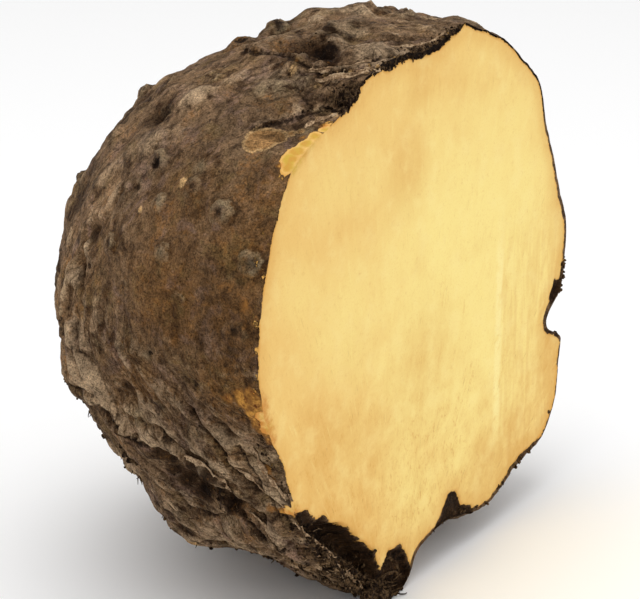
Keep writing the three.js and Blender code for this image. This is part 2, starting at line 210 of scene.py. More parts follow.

# Painted marks of the skin: place, radius, strength. The pit marks paint shade into the pits and
# hollows, and soot where crumbs lie; the open places show the flesh, the bare ones are stained by its
# juice, and the tone marks add up, painting light on the top and the edges and shade round the
# hollows over the bark's own broad tones
MARKS = {
    "pits": [
        [16, 33, 10, 0.5], [17.4, 36, 8, 0.5], [17, 26, 10, 0.6], [15.6, 31, 6.5, 1], [15.2, 28, 6.5, 1.3],
        [16, 25, 7, 1.2], [17.5, 19, 7, 1], [19, 14, 5, 0.9], [19.8, 17, 5, 0.7], [31.8, 38, 7, 0.6],
        [14, 36, 7, 0.5], [22.5, 1.2, 4, 1.3], [23.5, 2.5, 4, 1.1], [24.2, 0.8, 4, 1.2],
        [21.2, 2, 2.5, 0.8], [24.8, 4.8, 2.5, 0.6], [22, 6, 2.5, 0.5], [21.5, 41, 3.5, 0.9],
        [44.5, 40, 6, 0.6], [47.8, 40, 6, 0.7], [53.5, 40, 6, 0.5], [59.3, 29, 5, 0.6], [29, 10, 3, 0.6],
        [26, 7, 3, 0.6], [67.6, 26, 5, 0.7], [69.4, 31, 5, 0.6], [70.8, 30, 6, 0.8], [72.4, 27.5, 7, 1],
        [72.2, 21.5, 6, 1], [73.6, 19, 6, 1], [70, 24, 8, 1.1], [69.8, 19, 6, 0.9], [67.6, 18, 4, 0.6],
        [68.2, 14.6, 3.4, 0.6], [69, 12.4, 3, 0.6], [75, 17, 4, 0.7], [67.2, 19, 7, 0.7],
        [68, 15.6, 6, 0.75], [13.8, 4, 5, 0.4], [63, 8, 3.5, 0.7], [50.2, 180, 7, 0.9], [12, 36, 5, 0.4],
        [88, 14, 9, 0.6], [92, 8, 9, 0.8], [83, 6, 6, 0.5],
    ],
    "open": [
        [28, 0.5, 2.6, 0.8], [29.6, 0.8, 3.2, 0.9], [31, 1.2, 3.8, 1], [32.4, 1.5, 4.2, 1.1],
        [33.6, 1.6, 4.2, 1.1], [34.6, 1, 3.4, 1], [60, 0.4, 3, 0.4], [61.6, 0, 3.4, 0.5],
        [72.6, 0.6, 3, 0.5],
    ],
    "bare": [
        [27.4, 1.4, 2.4, 0.8], [30, 3, 2.2, 0.6], [34.6, 2.6, 2.2, 0.7], [48.6, 2.4, 3, 0.6],
        [58.4, 5.6, 3.4, 0.8], [67.3, 3, 2.4, 1], [68.6, 2.4, 1.8, 0.8], [57.8, 3.6, 3.6, 0.9],
        [57.6, 1.6, 4, 1.1], [58.5, 2.8, 4, 1], [58.8, 0.8, 4.4, 1.1], [59.8, 1.8, 4.2, 1.1],
        [60.8, 1.4, 4, 1.1], [62, 0.8, 3.6, 1], [63.3, 0.2, 3, 0.9], [72.2, 4.6, 2.8, 0.7],
        [72.8, 2.4, 3, 0.9], [73, 0.6, 3, 0.9],
    ],
    "tan": [
        [31.4, 10.6, 6.6, 1.1], [31.1, 9.4, 7.2, 1.1], [30.8, 8, 6.6, 1.1], [32.4, 9.8, 6.6, 1.1],
        [32.2, 8.2, 6, 1.05], [29.6, 6, 3, 0.8], [28.8, 4.8, 2.6, 0.8], [26.5, 3.2, 2.6, 0.8],
        [25.5, 1.2, 2.4, 0.9], [21, 10.4, 2, 0.7], [20.8, 7.2, 2.2, 0.9], [20, 4.8, 2, 0.9],
        [19, 2, 2, 0.9], [17.8, 0, 1.8, 0.8], [22, 18, 4, 0.4], [22.5, 10, 4, 0.4], [73, 53, 6, 0.6],
        [77, 48, 6, 0.7], [41.3, 26, 2, 0.8], [38, 19, 4, 0.5],
    ],
    "grey": [
        [40.3, 22, 4.5, 1], [44.8, 18, 3.5, 0.7], [44.5, 2.2, 3, 0.8], [36.4, 17, 4.5, 0.8],
        [62, 28, 6, 0.7], [25, 18, 10, 0.7], [23, 14, 7, 0.6], [64, 14, 10, 0.4], [67, 4, 7, 0.5],
        [70.5, 2, 5, 0.5], [55, 21, 3, 0.7], [28.4, 3.5, 4, 0.6], [78.5, 12, 9, 0.5], [81.5, 9, 8, 0.5],
        [76, 24, 9, 0.4], [79, 32, 10, 0.4],
    ],
    "warm": [
        [44, 2, 30, 1], [38, 1, 24, 0.85], [50, 4, 34, 1], [57, 5, 28, 1], [49, 15, 34, 0.95],
        [41, 17, 34, 0.6], [58, 24, 26, 0.7], [66, 12, 18, 0.5], [62, 34, 22, 0.5], [47, 36, 46, 0.3],
    ],
    # The tone marks are painted light on the top and on the edges and painted shade round the hollows,
    # together with the bark's own broad tones; they add up
    "tone": [
        [10, 34, 40, 0.14], [28, 32, 30, 0.24], [41, 43, 30, 0.24], [51, 45, 34, 0.26], [59, 38, 24, 0.1],
        [30, 60, 40, 0.2], [66, 34, 18, -0.16], [58, 22, 26, -0.14], [80, 20, 26, 0.2], [84, 50, 24, 0.14],
        [16.8, 28, 18, -0.06], [46, 62, 40, 0.2], [22, 14, 14, -0.16], [27, 38, 22, 0.16],
        [54, 20, 22, -0.1], [85, 24, 26, 0.26], [92, 14, 16, 0.2], [22.8, 38, 18, 0.42],
        [20.8, 21, 12, 0.38], [17.6, 7, 9, -0.34], [5, 33, 11, 0.2], [13.8, 4, 14, -0.32],
        [10, 9, 11, -0.22], [10.8, 46, 13, -0.4], [7.8, 38.4, 12, 0.14], [24, 13, 11, -0.16],
        [39.5, 36, 20, 0.1], [45, 23.6, 14, 0.12], [33, 47, 14, 0.36], [51, 8, 22, -0.22],
        [54.5, 30.4, 9, 0.24], [57.5, 24.8, 10, 0.32], [55.3, 39, 9, -0.28], [57.8, 33, 7, -0.12],
        [64.5, 23.2, 9, -0.12], [67.5, 17.2, 12, -0.25], [73.5, 19.6, 10, 0.15], [80, 6, 14, 0.36],
        [26.8, 1.6, 8, 0.2],
    ],
}
# Paler and, below zero, more orange parts of the flesh: across and up on the cut, radius, strength
FLESH_TONES = [
    [-60, 116, 36, 0.5], [-46, 102, 22, 0.3], [0, 82, 40, -0.3], [-66, 74, 30, -0.34], [-40, 62, 28, -0.2],
    [-2, 36, 18, 0.6], [-12, 44, 14, 0.3], [46, 28, 18, -0.4], [94, 56, 18, -0.3], [-45, 164, 18, 0.3],
    [-14, 158, 22, -0.24], [-6, 188, 14, -0.3], [72, 68, 22, 0.12], [-74, 92, 14, -0.15],
    [-86, 136, 18, 0.4], [-65, 165, 20, 0.3], [95, 105, 13, 0.3], [71, 32, 16, -0.36],
]
# The point that the fibres of the flesh fan out from, how many fibres and specks a radian of the fan
# has, and the palest part of the flesh
FLESH_FOOT = (-22, CUT_Y, -30)
FAN_FIBRES = 70
FAN_SPECKS = 95
FLESH_MIDDLE = (36, CUT_Y, 100)

# How thick the skin is on the cut: share of the way down, thickness
LEFT_RIM = [
    [0, 0.6], [0.02, 1.8], [0.05, 2.8], [0.1, 2.8], [0.13, 2.4], [0.15, 3.8], [0.165, 3.4], [0.18, 1.4],
    [0.21, 1.2], [0.222, 2.8], [0.236, 2.8], [0.25, 0.6], [0.27, 0.3], [0.285, -1.5], [0.348, -1.5],
    [0.36, 0.4], [0.56, 0.4], [0.58, -1.5], [0.62, -1.5], [0.65, 0.6], [0.715, 1.2], [0.725, -1],
    [0.735, -1], [0.76, 2.6], [1, 3],
]
RIGHT_RIM = [
    [0, 0.8], [0.1, 0.7], [0.2, 0.8], [0.26, 1.1], [0.35, 1.3], [0.44, 1.1], [0.48, 2.2], [0.54, 0.8],
    [0.6, 0.4], [0.66, 0.9], [0.7, 1.6], [0.76, 0.8], [0.82, 1.4], [0.9, 1], [1, 2],
]
# Where skin reaches in over the cut, drawn from the front; the first is the torn skin of the foot
BITES = [
    [
        [-96, 58], [-86, 57], [-79, 56], [-77, 53], [-73, 50], [-68, 50], [-64, 45], [-57, 43], [-51, 38],
        [-44, 31], [-36, 25], [-32, 18], [-30, 14], [-27, 17], [-24, 20], [-20, 19], [-16, 19], [-13, 15],
        [-10, 10], [-7, 6], [-6, -8], [-40, -8], [-110, 30],
    ],
    [
        [10, 16.5], [14, 19.5], [17, 23.5], [20, 26.5], [24, 26.2], [26.5, 23], [29, 18.5], [37, 14.5],
        [40, 8], [5, 8],
    ],
    [[102.5, 86], [107, 85], [113, 79], [104.5, 75], [99.5, 77], [98.5, 81]],
]
# The line that the knife left on the cut: how far across it is at a level, how much it leans, how far
# it sways and how long its waves are, and between which heights it starts
KNIFE_LINE = 56
KNIFE_LEVEL = 60
KNIFE_LEAN = 0.035
KNIFE_SWAY = (2, 30)
KNIFE_TOP = (150, 90)
# The heights between which the rim of the cut turns near black
BLACK_RIM_HEIGHTS = (150, 162)
# How far the fine relief of the cut's edges reaches into the cut, and the share of the way across
# that stays flat beside them
EDGE_REACH = 7
FLAT_RIM = 0.012

# Crumbs of bark and soil: how many, how far they stray, their size, and the line that they lie along
CRUMBS = [
    (280, 1.5, 0.55, [[1.5, 0], [5, 0], [9.5, 0], [15.5, 0], [18.5, 1]]),
    (170, 1.8, 0.8, [[20.8, 1], [23, 2], [25, 1]]),
    (40, 0.8, 0.4, [[30, 12], [28.8, 10], [25.8, 7], [24.5, 2]]),
    (50, 3, 0.35, [[16, 34], [18, 20], [19, 12]]),
    (60, 4, 0.5, [[71, 30], [72.5, 22], [74, 17]]),
    (26, 1, 1.5, [[66.4, 45], [68, 42]]),
    (150, 5, 0.7, [[58, 54], [66, 55], [70, 54], [76, 50], [80, 46], [86, 36]]),
    (60, 0.7, 0.5, [[62, 2], [66, 2], [70, 0.5], [73, 0]]),
    (240, 3, 1, [[75, 3], [82, 2], [88, 1.5], [94, 1], [98, 0]]),
    (70, 2.5, 1.9, [[93, 4], [96, 2], [98.5, 1]]),
    (120, 6, 0.8, [[82, 20], [88, 14], [94, 8]]),
    (70, 1.3, 0.7, [[44, 180], [48, 180], [52, 179]]),
    (130, 1, 0.6, [[60, 180], [70, 180], [79, 180], [86, 179], [92, 179]]),
    (80, 14, 0.8, [[80, 70], [86, 110], [82, 150]]),
]
# The shares of that size that they come in, and how deep in the flesh one may lie
CRUMB_SIZES = (0.35, 0.5, 0.5, 0.7, 1, 1.3)
CRUMB_LIMIT = 0.5
CRUMB_SEED = 11
# Strips of torn bark: width, how far they curl up, whether their line is drawn on the cut as
# [x, z], and their line
STRIPS = {
    "dark": [
        (1.4, 0.5, True, [[-26, 18], [-18, 13], [-12, 6]]),
        (1.6, 0.6, True, [[-30, 8], [-20, 9], [-11, 4]]),
        (1.8, 0.6, True, [[-46, 12], [-32, 4], [-20, 2]]),
    ],
    "light": [
        (2.2, 1, False, [[22.2, 11], [20.9, 7.2], [19.6, 3.4], [17.6, 0.4]]),
        (1.6, 0.8, False, [[21.4, 15], [20.2, 10], [19, 6], [17.4, 3]]),
        (2.6, 0.8, False, [[28.6, 4.6], [26.8, 3], [25.4, 0.8]]),
        (2.4, 0.9, False, [[66.2, 10.5], [69.6, 5.6], [72.4, 1.2]]),
        (2.2, 0.8, False, [[64.8, 5], [68.6, 2.6], [71.6, 0.4]]),
        (1.8, 1, False, [[66.2, 25], [67, 19], [68.6, 14], [70.6, 10]]),
        (2.2, 0.9, False, [[74, 14], [76.5, 11], [79, 8], [82, 6]]),
        (1.5, 0.6, False, [[12.6, 12], [10, 8], [7, 5], [4, 5]]),
        (1.6, 0.5, True, [[-86, 53], [-76, 45], [-66, 37], [-57, 29]]),
        (1.6, 0.5, True, [[-64, 33], [-54, 24], [-44, 15], [-36, 7]]),
    ],
}
# The squares of a strip along and across, how thick it is, and how far off the corm it lies
STRIP_GRID = (30, 4)
STRIP_THICKNESS = 0.4
STRIP_GAP = 0.25
# Fibres: how many, how far they stray, length, thickness, whether they lie on the corm, the way
# that they run, and the line that they start along
FIBRES = {
    "dark": [
        (60, 2.5, 20, 0.55, True, [0.85, -0.1, -0.45], [[76, 4], [84, 1], [92, 0]]),
        (40, 3, 16, 0.6, True, [0.9, -0.2, -0.3], [[84, 8], [90, 5], [95, 3]]),
        (36, 2.5, 7, 0.6, False, [0.8, -0.5, -0.1], [[90, 3], [95, 3], [99, 2]]),
        (16, 3, 3, 0.5, False, [-0.5, 0.1, -0.9], [[62, 53], [68, 53], [76, 50], [84, 38]]),
        (3, 0.6, 6, 0.5, False, [-0.2, -0.1, -1], [[69.4, 53], [70.4, 54]]),
        (26, 1.6, 7, 0.35, True, [0.1, -0.4, -0.9], [[21.8, 8], [22.6, 4]]),
    ],
    "light": [
        (8, 0.5, 8, 0.35, True, [0.8, -0.4, 0.35], [[21.2, 15], [20.8, 9], [19.8, 4], [18.4, 1]]),
        (18, 4, 14, 0.35, True, [0.85, -0.3, -0.45], [[76, 20], [82, 14], [88, 8]]),
    ],
}
# The steps of a fibre, how far it may hang out over the cut, and how deep in the flesh it may lie
FIBRE_STEPS = 6
FIBRE_OVERHANG = 3
FIBRE_LIMIT = 0.3
FIBRE_SEED = 23

# What the corm's vertices tell its material: first what its bark reads, then what its flesh reads
BARK_PAINT = (
    "height", "wide", "narrow", "calm", "quiet", "scar", "pale", "dark", "furrow", "pits", "tan", "grey",
    "warm", "tone",
)
PAINT = (*BARK_PAINT, "flesh", "open", "bare", "pulp")

# Dry materials: two colours and how strong their grain is
DRY_FINISHES = {
    "crumb_soil": ("soot_and_shade", "crumb", 1.2),
    "strip_dark": ("bark_dark_and_shade", "crumb", 1.2),
    "strip_light": ("bark_mid", "bark_light_and_highlight", 1.4),
    "fibre_dark": ("soot_and_shade", "crumb", 1.2),
    "fibre_light": ("bark_mid", "bark_light_and_highlight", 1.0),
}

# The grid of the dressed corm, and how much closer its columns are beside the skin and on the side
# that the photo shows
ROWS = 300
SKIN_COLUMNS = 250
CUT_COLUMNS = 70
CUT_CROWDING = 0.75
SKIN_CROWDING = 0.45

# Shares of a round whose multiples scatter evenly
GOLDEN = 0.618
SECOND_STEP = 0.382
PLANE_STEPS = (0.7549, 0.5698)


def srgb(red, green, blue):
    """A colour written as on a screen, from 0 to 255, in the renderer's linear light."""
    shares = [value / 255 for value in (red, green, blue)]
    return tuple(s / 12.92 if s <= 0.04045 else ((s + 0.055) / 1.055) ** 2.4 for s in shares)


def length(name, description, millimetres):
    return bpy.props.FloatProperty(
        name=name, description=description, default=millimetres * MM, min=0, unit="LENGTH", precision=5
    )


def colour(name, description, *tint):
    return bpy.props.FloatVectorProperty(
        name=name, description=description, default=srgb(*tint), subtype="COLOR", min=0, max=1
    )


def light_power(name, description, watts):
    return bpy.props.FloatProperty(name=name, description=description, default=watts, subtype="POWER")


class YamSizes(bpy.types.PropertyGroup):
    crevice: length("Crevice", "How deep the crevice at the foot of the cut is", 9)
    foot_sink: length("Foot", "How far the torn skin at the foot lies behind the cut", 2.2)
    wrinkle: length("Wrinkles", "Depth of the long wrinkles of the bark", 1.15)
    lump: length("Lumps", "Height of the bark's soft lumps", 1.0)
    grain: length("Grain", "Height of the bark's fine grain", 0.38)
    knife_step: length("Knife step", "Height of the line that the knife left on the cut", 0.55)


class YamColours(bpy.types.PropertyGroup):
    flesh_pale: colour("Pale flesh", "Middle of the cut", 252, 229, 146)
    flesh_peach: colour("Peach flesh", "Left and lower part of the cut", 241, 201, 122)
    flesh_orange: colour("Orange flesh", "Flesh next to the skin", 216, 156, 74)
    flesh_yellow: colour("Yellow flesh", "Thinly covered flesh beside the skin", 196, 160, 56)
    flesh_cream: colour("Cream flesh", "Pale streaks and clouds of the cut", 255, 236, 160)
    juice: colour("Juice", "Orange stains where the skin is torn off the flesh", 196, 122, 48)
    stain: colour("Stain", "Dried juice in the torn skin", 96, 44, 18)
    flesh_speck: colour("Specks", "Small dark specks in the flesh", 186, 132, 66)
    # Dark bark also paints the shade in the hollows, the wrinkles' creases and the pits
    bark_dark_and_shade: colour("Dark bark", "Furrows of the skin", 50, 33, 19)
    bark_mid: colour("Bark", "Most of the skin", 127, 101, 75)
    # Light bark also paints the highlights on the crests of the skin
    bark_light_and_highlight: colour("Light bark", "Crests of the skin", 184, 157, 125)
    bark_warm: colour("Warm bark", "Skin beside the cut", 110, 77, 43)
    rust: colour("Rust", "Small rusty flecks of the skin", 146, 98, 48)
    grey: colour("Grey patches", "Waxy patches and rims of the scars", 150, 132, 102)
    slate: colour("Slate", "Bluish grey middles of some scars", 92, 94, 90)
    olive: colour("Olive", "Greenish patches of the skin", 107, 87, 50)
    mauve: colour("Mauve", "Purplish patches of the skin", 128, 103, 92)
    tan: colour("Tan scars", "Dry scars and torn edges of the bark", 198, 160, 110)
    # Soot also paints the darkest shade in the furrows and pits, and the middles of some scars
    soot_and_shade: colour("Soot", "Crumbs and pits", 27, 16, 8)
    crumb: colour("Crumbs", "Brown crumbs of bark and soil", 92, 72, 50)


class YamStudio(bpy.types.PropertyGroup):
    floor: colour("Floor", "The plain floor", 254, 254, 254)
    surround: bpy.props.FloatProperty(
        name="Surround", description="Brightness of the room", default=0.74, min=0, max=10, subtype="FACTOR"
    )
    key: light_power("Front light", "Light on the cut", 2.5)
    top: light_power("Top light", "Light from above", 12)


def curve_through(points):
    """A smooth curve through points, read at shares of its length from 0 to 1."""
    p = np.array(points, float)
    knots = np.concatenate([[0], np.cumsum(np.linalg.norm(np.diff(p, axis=0), axis=1))])
    last = len(p) - 1
    before = np.maximum(np.arange(last + 1) - 1, 0)
    after = np.minimum(np.arange(last + 1) + 1, last)
    slopes = (p[after] - p[before]) / (knots[after] - knots[before])[:, None]

    def read(shares):
        at = np.asarray(shares, float) * knots[-1]
        i = np.clip(np.searchsorted(knots, at, side="right") - 1, 0, last - 1)
        span = (knots[i + 1] - knots[i])[:, None]
        t = (at - knots[i])[:, None] / span
        return (
            p[i] * (1 + 2 * t) * (1 - t) ** 2
            + slopes[i] * span * t * (1 - t) ** 2
            + p[i + 1] * t * t * (3 - 2 * t)
            + slopes[i + 1] * span * t * t * (t - 1)
        )

    return read


left_edge = curve_through(LEFT_EDGE)
right_edge = curve_through(RIGHT_EDGE)
back_ridge = curve_through(BACK_RIDGE)


def smoothstep(value, low, high):
    t = np.clip((value - low) / (high - low), 0, 1)
    return t * t * (3 - 2 * t)


def unit(vectors):
    return vectors / np.maximum(np.linalg.norm(vectors, axis=1), 1e-9)[:, None]


def bell(value, middle, width):
    return np.exp(-(((value - middle) / width) ** 2))


def plain_skin(along, turn):
    """The skin before its relief, at shares of the way down and turns in radians."""
    left, right, ridge = left_edge(along), right_edge(along), back_ridge(along)
    middle = (left + right) / 2
    c, s = np.cos(turn)[:, None], np.sin(turn)[:, None]
    flat = middle + (left - middle) * c + (ridge[:, [0, 2]] - middle) * s
    return np.column_stack([flat[:, 0], CUT_Y + ridge[:, 1] * s[:, 0], flat[:, 1]])


def places(marks):
    """Points of the plain skin at the places that marks start with."""
    table = np.array([mark[:2] for mark in marks], float)
    return plain_skin(table[:, 0] / 100, np.radians(table[:, 1]))


def hidden_warts(count, start, end, radius, height, lowest):
    """Evenly scattered warts: each step of the two shares lands in the widest gap left so far."""
    warts = []
    for n in range(1, count + 1):
        u, v = (n * PLANE_STEPS[0]) % 1, (n * PLANE_STEPS[1]) % 1
        at = [100 * math.acos(1 - 2 * u) / math.pi, start + (end - start) * v]
        size = 0.75 + 0.5 * ((n * GOLDEN) % 1)
        if places([at])[0, 2] > lowest:
            warts.append([*at, radius * size, height * size])
    return warts


def hump(distance):
    """A rounded hump of height 1 that ends at distance 1."""
    return np.where(distance < 1, (1 - np.minimum(distance, 1) ** 2) ** 2, 0)


def distance_to_line(points, line):
    """How far points are from a line of points, and the way from the line to them."""
    nearest = np.full(len(points), np.inf)
    offset = np.zeros_like(points)
    for start, end in zip(line[:-1], line[1:]):
        way = end - start
        t = np.clip((points - start) @ way / (way @ way), 0, 1)
        away = points - start - t[:, None] * way
        distance = np.linalg.norm(away, axis=1)
        closer = distance < nearest
        nearest[closer] = distance[closer]
        offset[closer] = away[closer]
    return nearest, offset


def humps(points, marks):
    """The height of each round mark at each point."""
    for centre, (_, _, radius, height) in zip(places(marks), marks):
        yield height * hump(np.linalg.norm(points - centre, axis=1) / radius)


def spots(points, marks):
    """The strongest of some round marks at each point."""
    return np.maximum.reduce([np.zeros(len(points)), *humps(points, marks)])


def fields(points, marks):
    """The sum of some round marks at each point."""
    return sum(humps(points, marks))


def relief(points):
    """How far the solid's own relief stands out of the plain skin."""
    total = fields(points, LEFT_SIDE_WARTS + hidden_warts(**HIDDEN_WARTS) + DENTS + LOBES)
    for half_width, height, path in FOLDS:
        total += height * hump(distance_to_line(points, places(path))[0] / half_width)
    for swell, x, y, z, phase in SWELLS:
        total += swell * np.sin(points @ np.array([x, y, z]) + phase)
    return total


def soft_noise(points, size, octaves=1):
    """Noise from about -1 to 1 whose lumps are about size across."""
    return np.array([noise.fractal(p, 0.9, 2.1, octaves) for p in (points / size).tolist()])


def drawn_out_noise(points, eye, width, run):
    """Noise drawn out along circles round an eye, like the wrinkles of the bark."""
    distance = np.linalg.norm(points - np.array(eye), axis=1)
    stretched = np.column_stack([distance / width, points[:, 0] / run, (points[:, 1] + points[:, 2]) / run])
    return np.array([noise.fractal(p, 0.8, 2, 2) for p in stretched.tolist()])


def wrinkle_noise(points, width, run):
    """Drawn out noise of both eyes; the lines where it is zero are the furrows."""
    upper = smoothstep(points[:, 2], *EYE_CHANGE)
    low = drawn_out_noise(points, LOWER_EYE, width, run)
    return low * (1 - upper) + drawn_out_noise(points, UPPER_EYE, width, run) * upper


def hidden_furrows(count, depth, width, dark):
    """Evenly scattered furrows that wander round the back."""
    furrows = []
    for n in range(1, count + 1):
        along, turn = 14 + 72 * ((n * GOLDEN) % 1), 64 + 74 * ((n * SECOND_STEP) % 1)
        line = [[along + 2.5 * math.sin(n + 1.3 * k), turn + 9 * k] for k in range(5)]
        furrows.append((depth, width, dark, line))
    return furrows


def scar_list():
    """Every ringed scar: those of the visible side, and one on each hidden wart."""
    hidden = [
        [along, turn, radius * 0.62, 0.8, 0.9, 0.3 + 0.4 * ((n * GOLDEN) % 1), 0.5 + 0.4 * ((n * 0.37) % 1)]
        for n, (along, turn, radius, _) in enumerate(hidden_warts(**HIDDEN_WARTS))
    ]
    return SCARS + hidden


def fine_relief(points, down, sizes):
    """The dressed corm's finer relief, and what its paint needs to know of it."""
    wobble = np.column_stack([soft_noise(points + shift, 3.5) for shift in (0, 50, 90)])
    total, paleness, darkness = np.zeros((3, len(points)))
    scar, furrow = np.full(len(points), NO_SCAR), np.full(len(points), NO_FURROW)
    scars = scar_list()
    broken = soft_noise(points + 20, 2.6)
    for centre, (_, _, radius, rim, pit, pale, dark) in zip(places(scars), scars):
        away = points + wobble * 0.22 * radius - centre
        distance = np.linalg.norm(away, axis=1) / radius
        facing = unit(away) @ np.array(RIM_SIDE)
        share = np.clip(0.55 + 0.45 * facing + 0.8 * broken, 0.1, 1.2)
        ring = bell(distance, *SCAR_RIM) * share
        core, moat = bell(distance, 0, SCAR_PIT), bell(distance, *SCAR_MOAT)
        total += 1.3 * (rim * ring - pit * core) - 0.4 * rim * moat
        nearer = distance < scar
        scar[nearer], paleness[nearer], darkness[nearer] = distance[nearer], (pale * share)[nearer], dark
    total += fields(points, MOULDS)
    for height, fade, dark, path in LEDGES:
        distance, offset = distance_to_line(points + wobble * 0.9, places(path))
        above = -np.sign((offset * down).sum(1)) * distance
        total += height * (smoothstep(above, -0.8, 0.8) - 0.5) * np.exp(-distance / fade)
        furrow = np.minimum(furrow, np.abs(above + 0.9) + FAINT * (1 - dark))
    for depth, width, dark, path in FURROWS + hidden_furrows(**HIDDEN_FURROWS):
        distance, _ = distance_to_line(points + wobble, places(path))
        total += depth * (0.4 * bell(distance, 2.4 * width, 1.3 * width) - bell(distance, 0, width))
        furrow = np.minimum(furrow, distance + FAINT * (1 - dark))

    wide, narrow = wrinkle_noise(points, *WIDE_WRINKLES), wrinkle_noise(points + 7, *NARROW_WRINKLES)
    calm = 1 - smoothstep(np.linalg.norm(points - places([CALM])[0] + 6 * wobble, axis=1), *CALM_FADE)
    quiet = spots(points, QUIET)
    rough = (1 - 0.8 * calm) * (1 - 0.75 * quiet)
    folds = np.minimum(2.4 * np.abs(wide), 1) + 0.45 * np.minimum(2.4 * np.abs(narrow), 1) - 0.7
    lumps = soft_noise(points, 12, 2) + 0.35 * soft_noise(points + 31, 5.5)
    grains = soft_noise(points, 3.2, 3) + 0.5 * soft_noise(points, 1.7)
    total += sizes.wrinkle / MM * folds * rough
    total += sizes.lump / MM * lumps * (1 - 0.45 * calm)
    total += sizes.grain / MM * grains * (1 - 0.3 * calm)
    paint = {"scar": scar, "pale": paleness, "dark": darkness, "furrow": furrow, "calm": calm, "quiet": quiet}
    return total, {**paint, "wide": wide + 0.4 * calm, "narrow": narrow + 0.4 * calm, "height": total}


def finished_skin(along, turn, sizes):
    """The finished skin, the solid's own, the plain one, and the paint of the finer relief."""
    step = 1e-3
    plain = plain_skin(along, turn)
    down = plain_skin(np.minimum(along + step, 1), turn) - plain_skin(np.maximum(along - step, 0), turn)
    outward = np.cross(plain_skin(along, turn + step) - plain_skin(along, turn - step), down)
    on_edge = (turn <= 0) | (turn >= math.pi)
    outward[on_edge, 1] = 0
    outward = unit(outward)
    fade = smoothstep(along, 0, POLE_FADE) * smoothstep(1 - along, 0, POLE_FADE)
    form = relief(plain)
    fine, paint = fine_relief(plain, unit(down), sizes)
    hold = EDGE_HOLD + (1 - EDGE_HOLD) * smoothstep(plain[:, 1] - CUT_Y, 0, EDGE_FADE)
    points = plain + outward * ((form + fine * hold) * fade)[:, None]
    nearest = (CUT_Y + plain[:, 1]) / 2
    points[:, 1] = np.where(on_edge, CUT_Y, np.maximum(points[:, 1], nearest))
    points[:, 2] = np.maximum(points[:, 2], 0)
    return points, plain + outward * (form * fade)[:, None], plain, paint


def inside_distance(points, outline):
    """How far points lie inside a closed outline, below zero outside it."""
    corners = np.array([*outline, outline[0]], float)
    distance, _ = distance_to_line(points, corners)
    inside = np.zeros(len(points), bool)
    x, z = points.T
    for (start_x, start_z), (end_x, end_z) in zip(corners[:-1], corners[1:]):
        if start_z != end_z:
            meets = start_x + (end_x - start_x) * (z - start_z) / (end_z - start_z)
            inside ^= ((start_z > z) != (end_z > z)) & (x < meets)
    return np.where(inside, distance, -distance)


def select_only(*objects):
    """Selects these objects and no others; the last one becomes the active one."""
    if bpy.context.object and bpy.context.object.mode != "OBJECT":
        bpy.ops.object.mode_set(mode="OBJECT")
    bpy.ops.object.select_all(action="DESELECT")
    for piece in objects:
        piece.select_set(True)
        bpy.context.view_layer.objects.active = piece


def name_piece(piece, name, material):
    """Names a piece, gives it its material and says what it rides on."""
    piece.name = name
    piece.data.name = name
    piece.data.materials.append(material)
    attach(piece, BODY)
    return piece


def cut_columns_across():
    """Shares of the way over the cut, closer together beside the skin."""
    t = np.arange(1, CUT_COLUMNS) / CUT_COLUMNS
    return t - CUT_CROWDING * np.sin(math.tau * t) / math.tau


def skin_columns_turn():
    """Turns of the skin's columns from the right edge to the left, closer where the photo looks."""
    t = 1 - np.arange(SKIN_COLUMNS + 1) / SKIN_COLUMNS
    return math.pi * ((1 - SKIN_CROWDING) * t + SKIN_CROWDING * t * t)


def knife_line(level):
    """How far across the cut the knife's line is at a level."""
    sway, wave = KNIFE_SWAY
    return KNIFE_LINE + KNIFE_LEAN * (level - KNIFE_LEVEL) - sway * np.sin(level / wave)


def cut_surface(left_points, right_points, left_solid, right_solid, sizes):
    """The cut between its two edges: points, how far into the flesh each lies, and its depth."""
    across = cut_columns_across()
    flat = left_solid[:, None] * (1 - across[:, None]) + right_solid[:, None] * across[:, None]
    for edge, solid in ((left_points, left_solid), (right_points, right_solid)):
        gap = np.linalg.norm(flat - solid[:, None], axis=2)
        flat = flat + (edge - solid)[:, None] * np.exp(-gap / EDGE_REACH)[..., None]
    points = flat.reshape(-1, 3)
    face = points[:, [0, 2]]
    outline = np.concatenate([left_points, right_points])[:, [0, 2]]
    along = np.arange(1, ROWS) / ROWS
    rim = np.concatenate([np.interp(along, *np.transpose(table)) for table in (LEFT_RIM, RIGHT_RIM)])
    flesh = np.empty(len(face))
    for chunk in np.array_split(np.arange(len(face)), 40):
        gaps = np.linalg.norm(face[chunk, None] - outline, axis=2)
        nearest = gaps.argmin(1)
        flesh[chunk] = gaps[np.arange(len(chunk)), nearest] - rim[nearest]
    ragged = 0.9 * soft_noise(points, 4, 2) + 0.5 * soft_noise(points, 1.8)
    for bite in BITES:
        flesh = np.minimum(flesh, ragged - inside_distance(face, bite))
    torn = smoothstep(inside_distance(face, BITES[0]) + ragged, 0.2, 3)
    sunk = smoothstep(inside_distance(face, CREVICE) + ragged, -0.5, 3)
    depth = sizes.foot_sink / MM * torn + (sizes.crevice - sizes.foot_sink) / MM * sunk
    depth += torn * (0.9 * soft_noise(points, 5, 3) + 0.9 * soft_noise(points * np.array([1, 1, 0.35]), 1.6))
    beyond = smoothstep(face[:, 0] - knife_line(face[:, 1]), -0.9, 0.9) * smoothstep(face[:, 1], *KNIFE_TOP)
    depth += sizes.knife_step / MM * beyond
    crumbly = smoothstep(np.clip(flesh, -3, 3), 0.6, -0.6) * (1 - torn)
    depth += crumbly * (0.5 + 0.5 * soft_noise(points, 4, 2))
    rim_room = np.tile(smoothstep(np.minimum(across, 1 - across), 0, FLAT_RIM), ROWS - 1)
    points[:, 1] = CUT_Y + np.maximum(depth, -0.3) * rim_room
    return points, flesh, depth


def widened(marks, wider, weaker):
    """Round marks with a larger radius and less strength."""
    return [[along, turn, wider * radius, weaker * strength] for along, turn, radius, strength in marks]


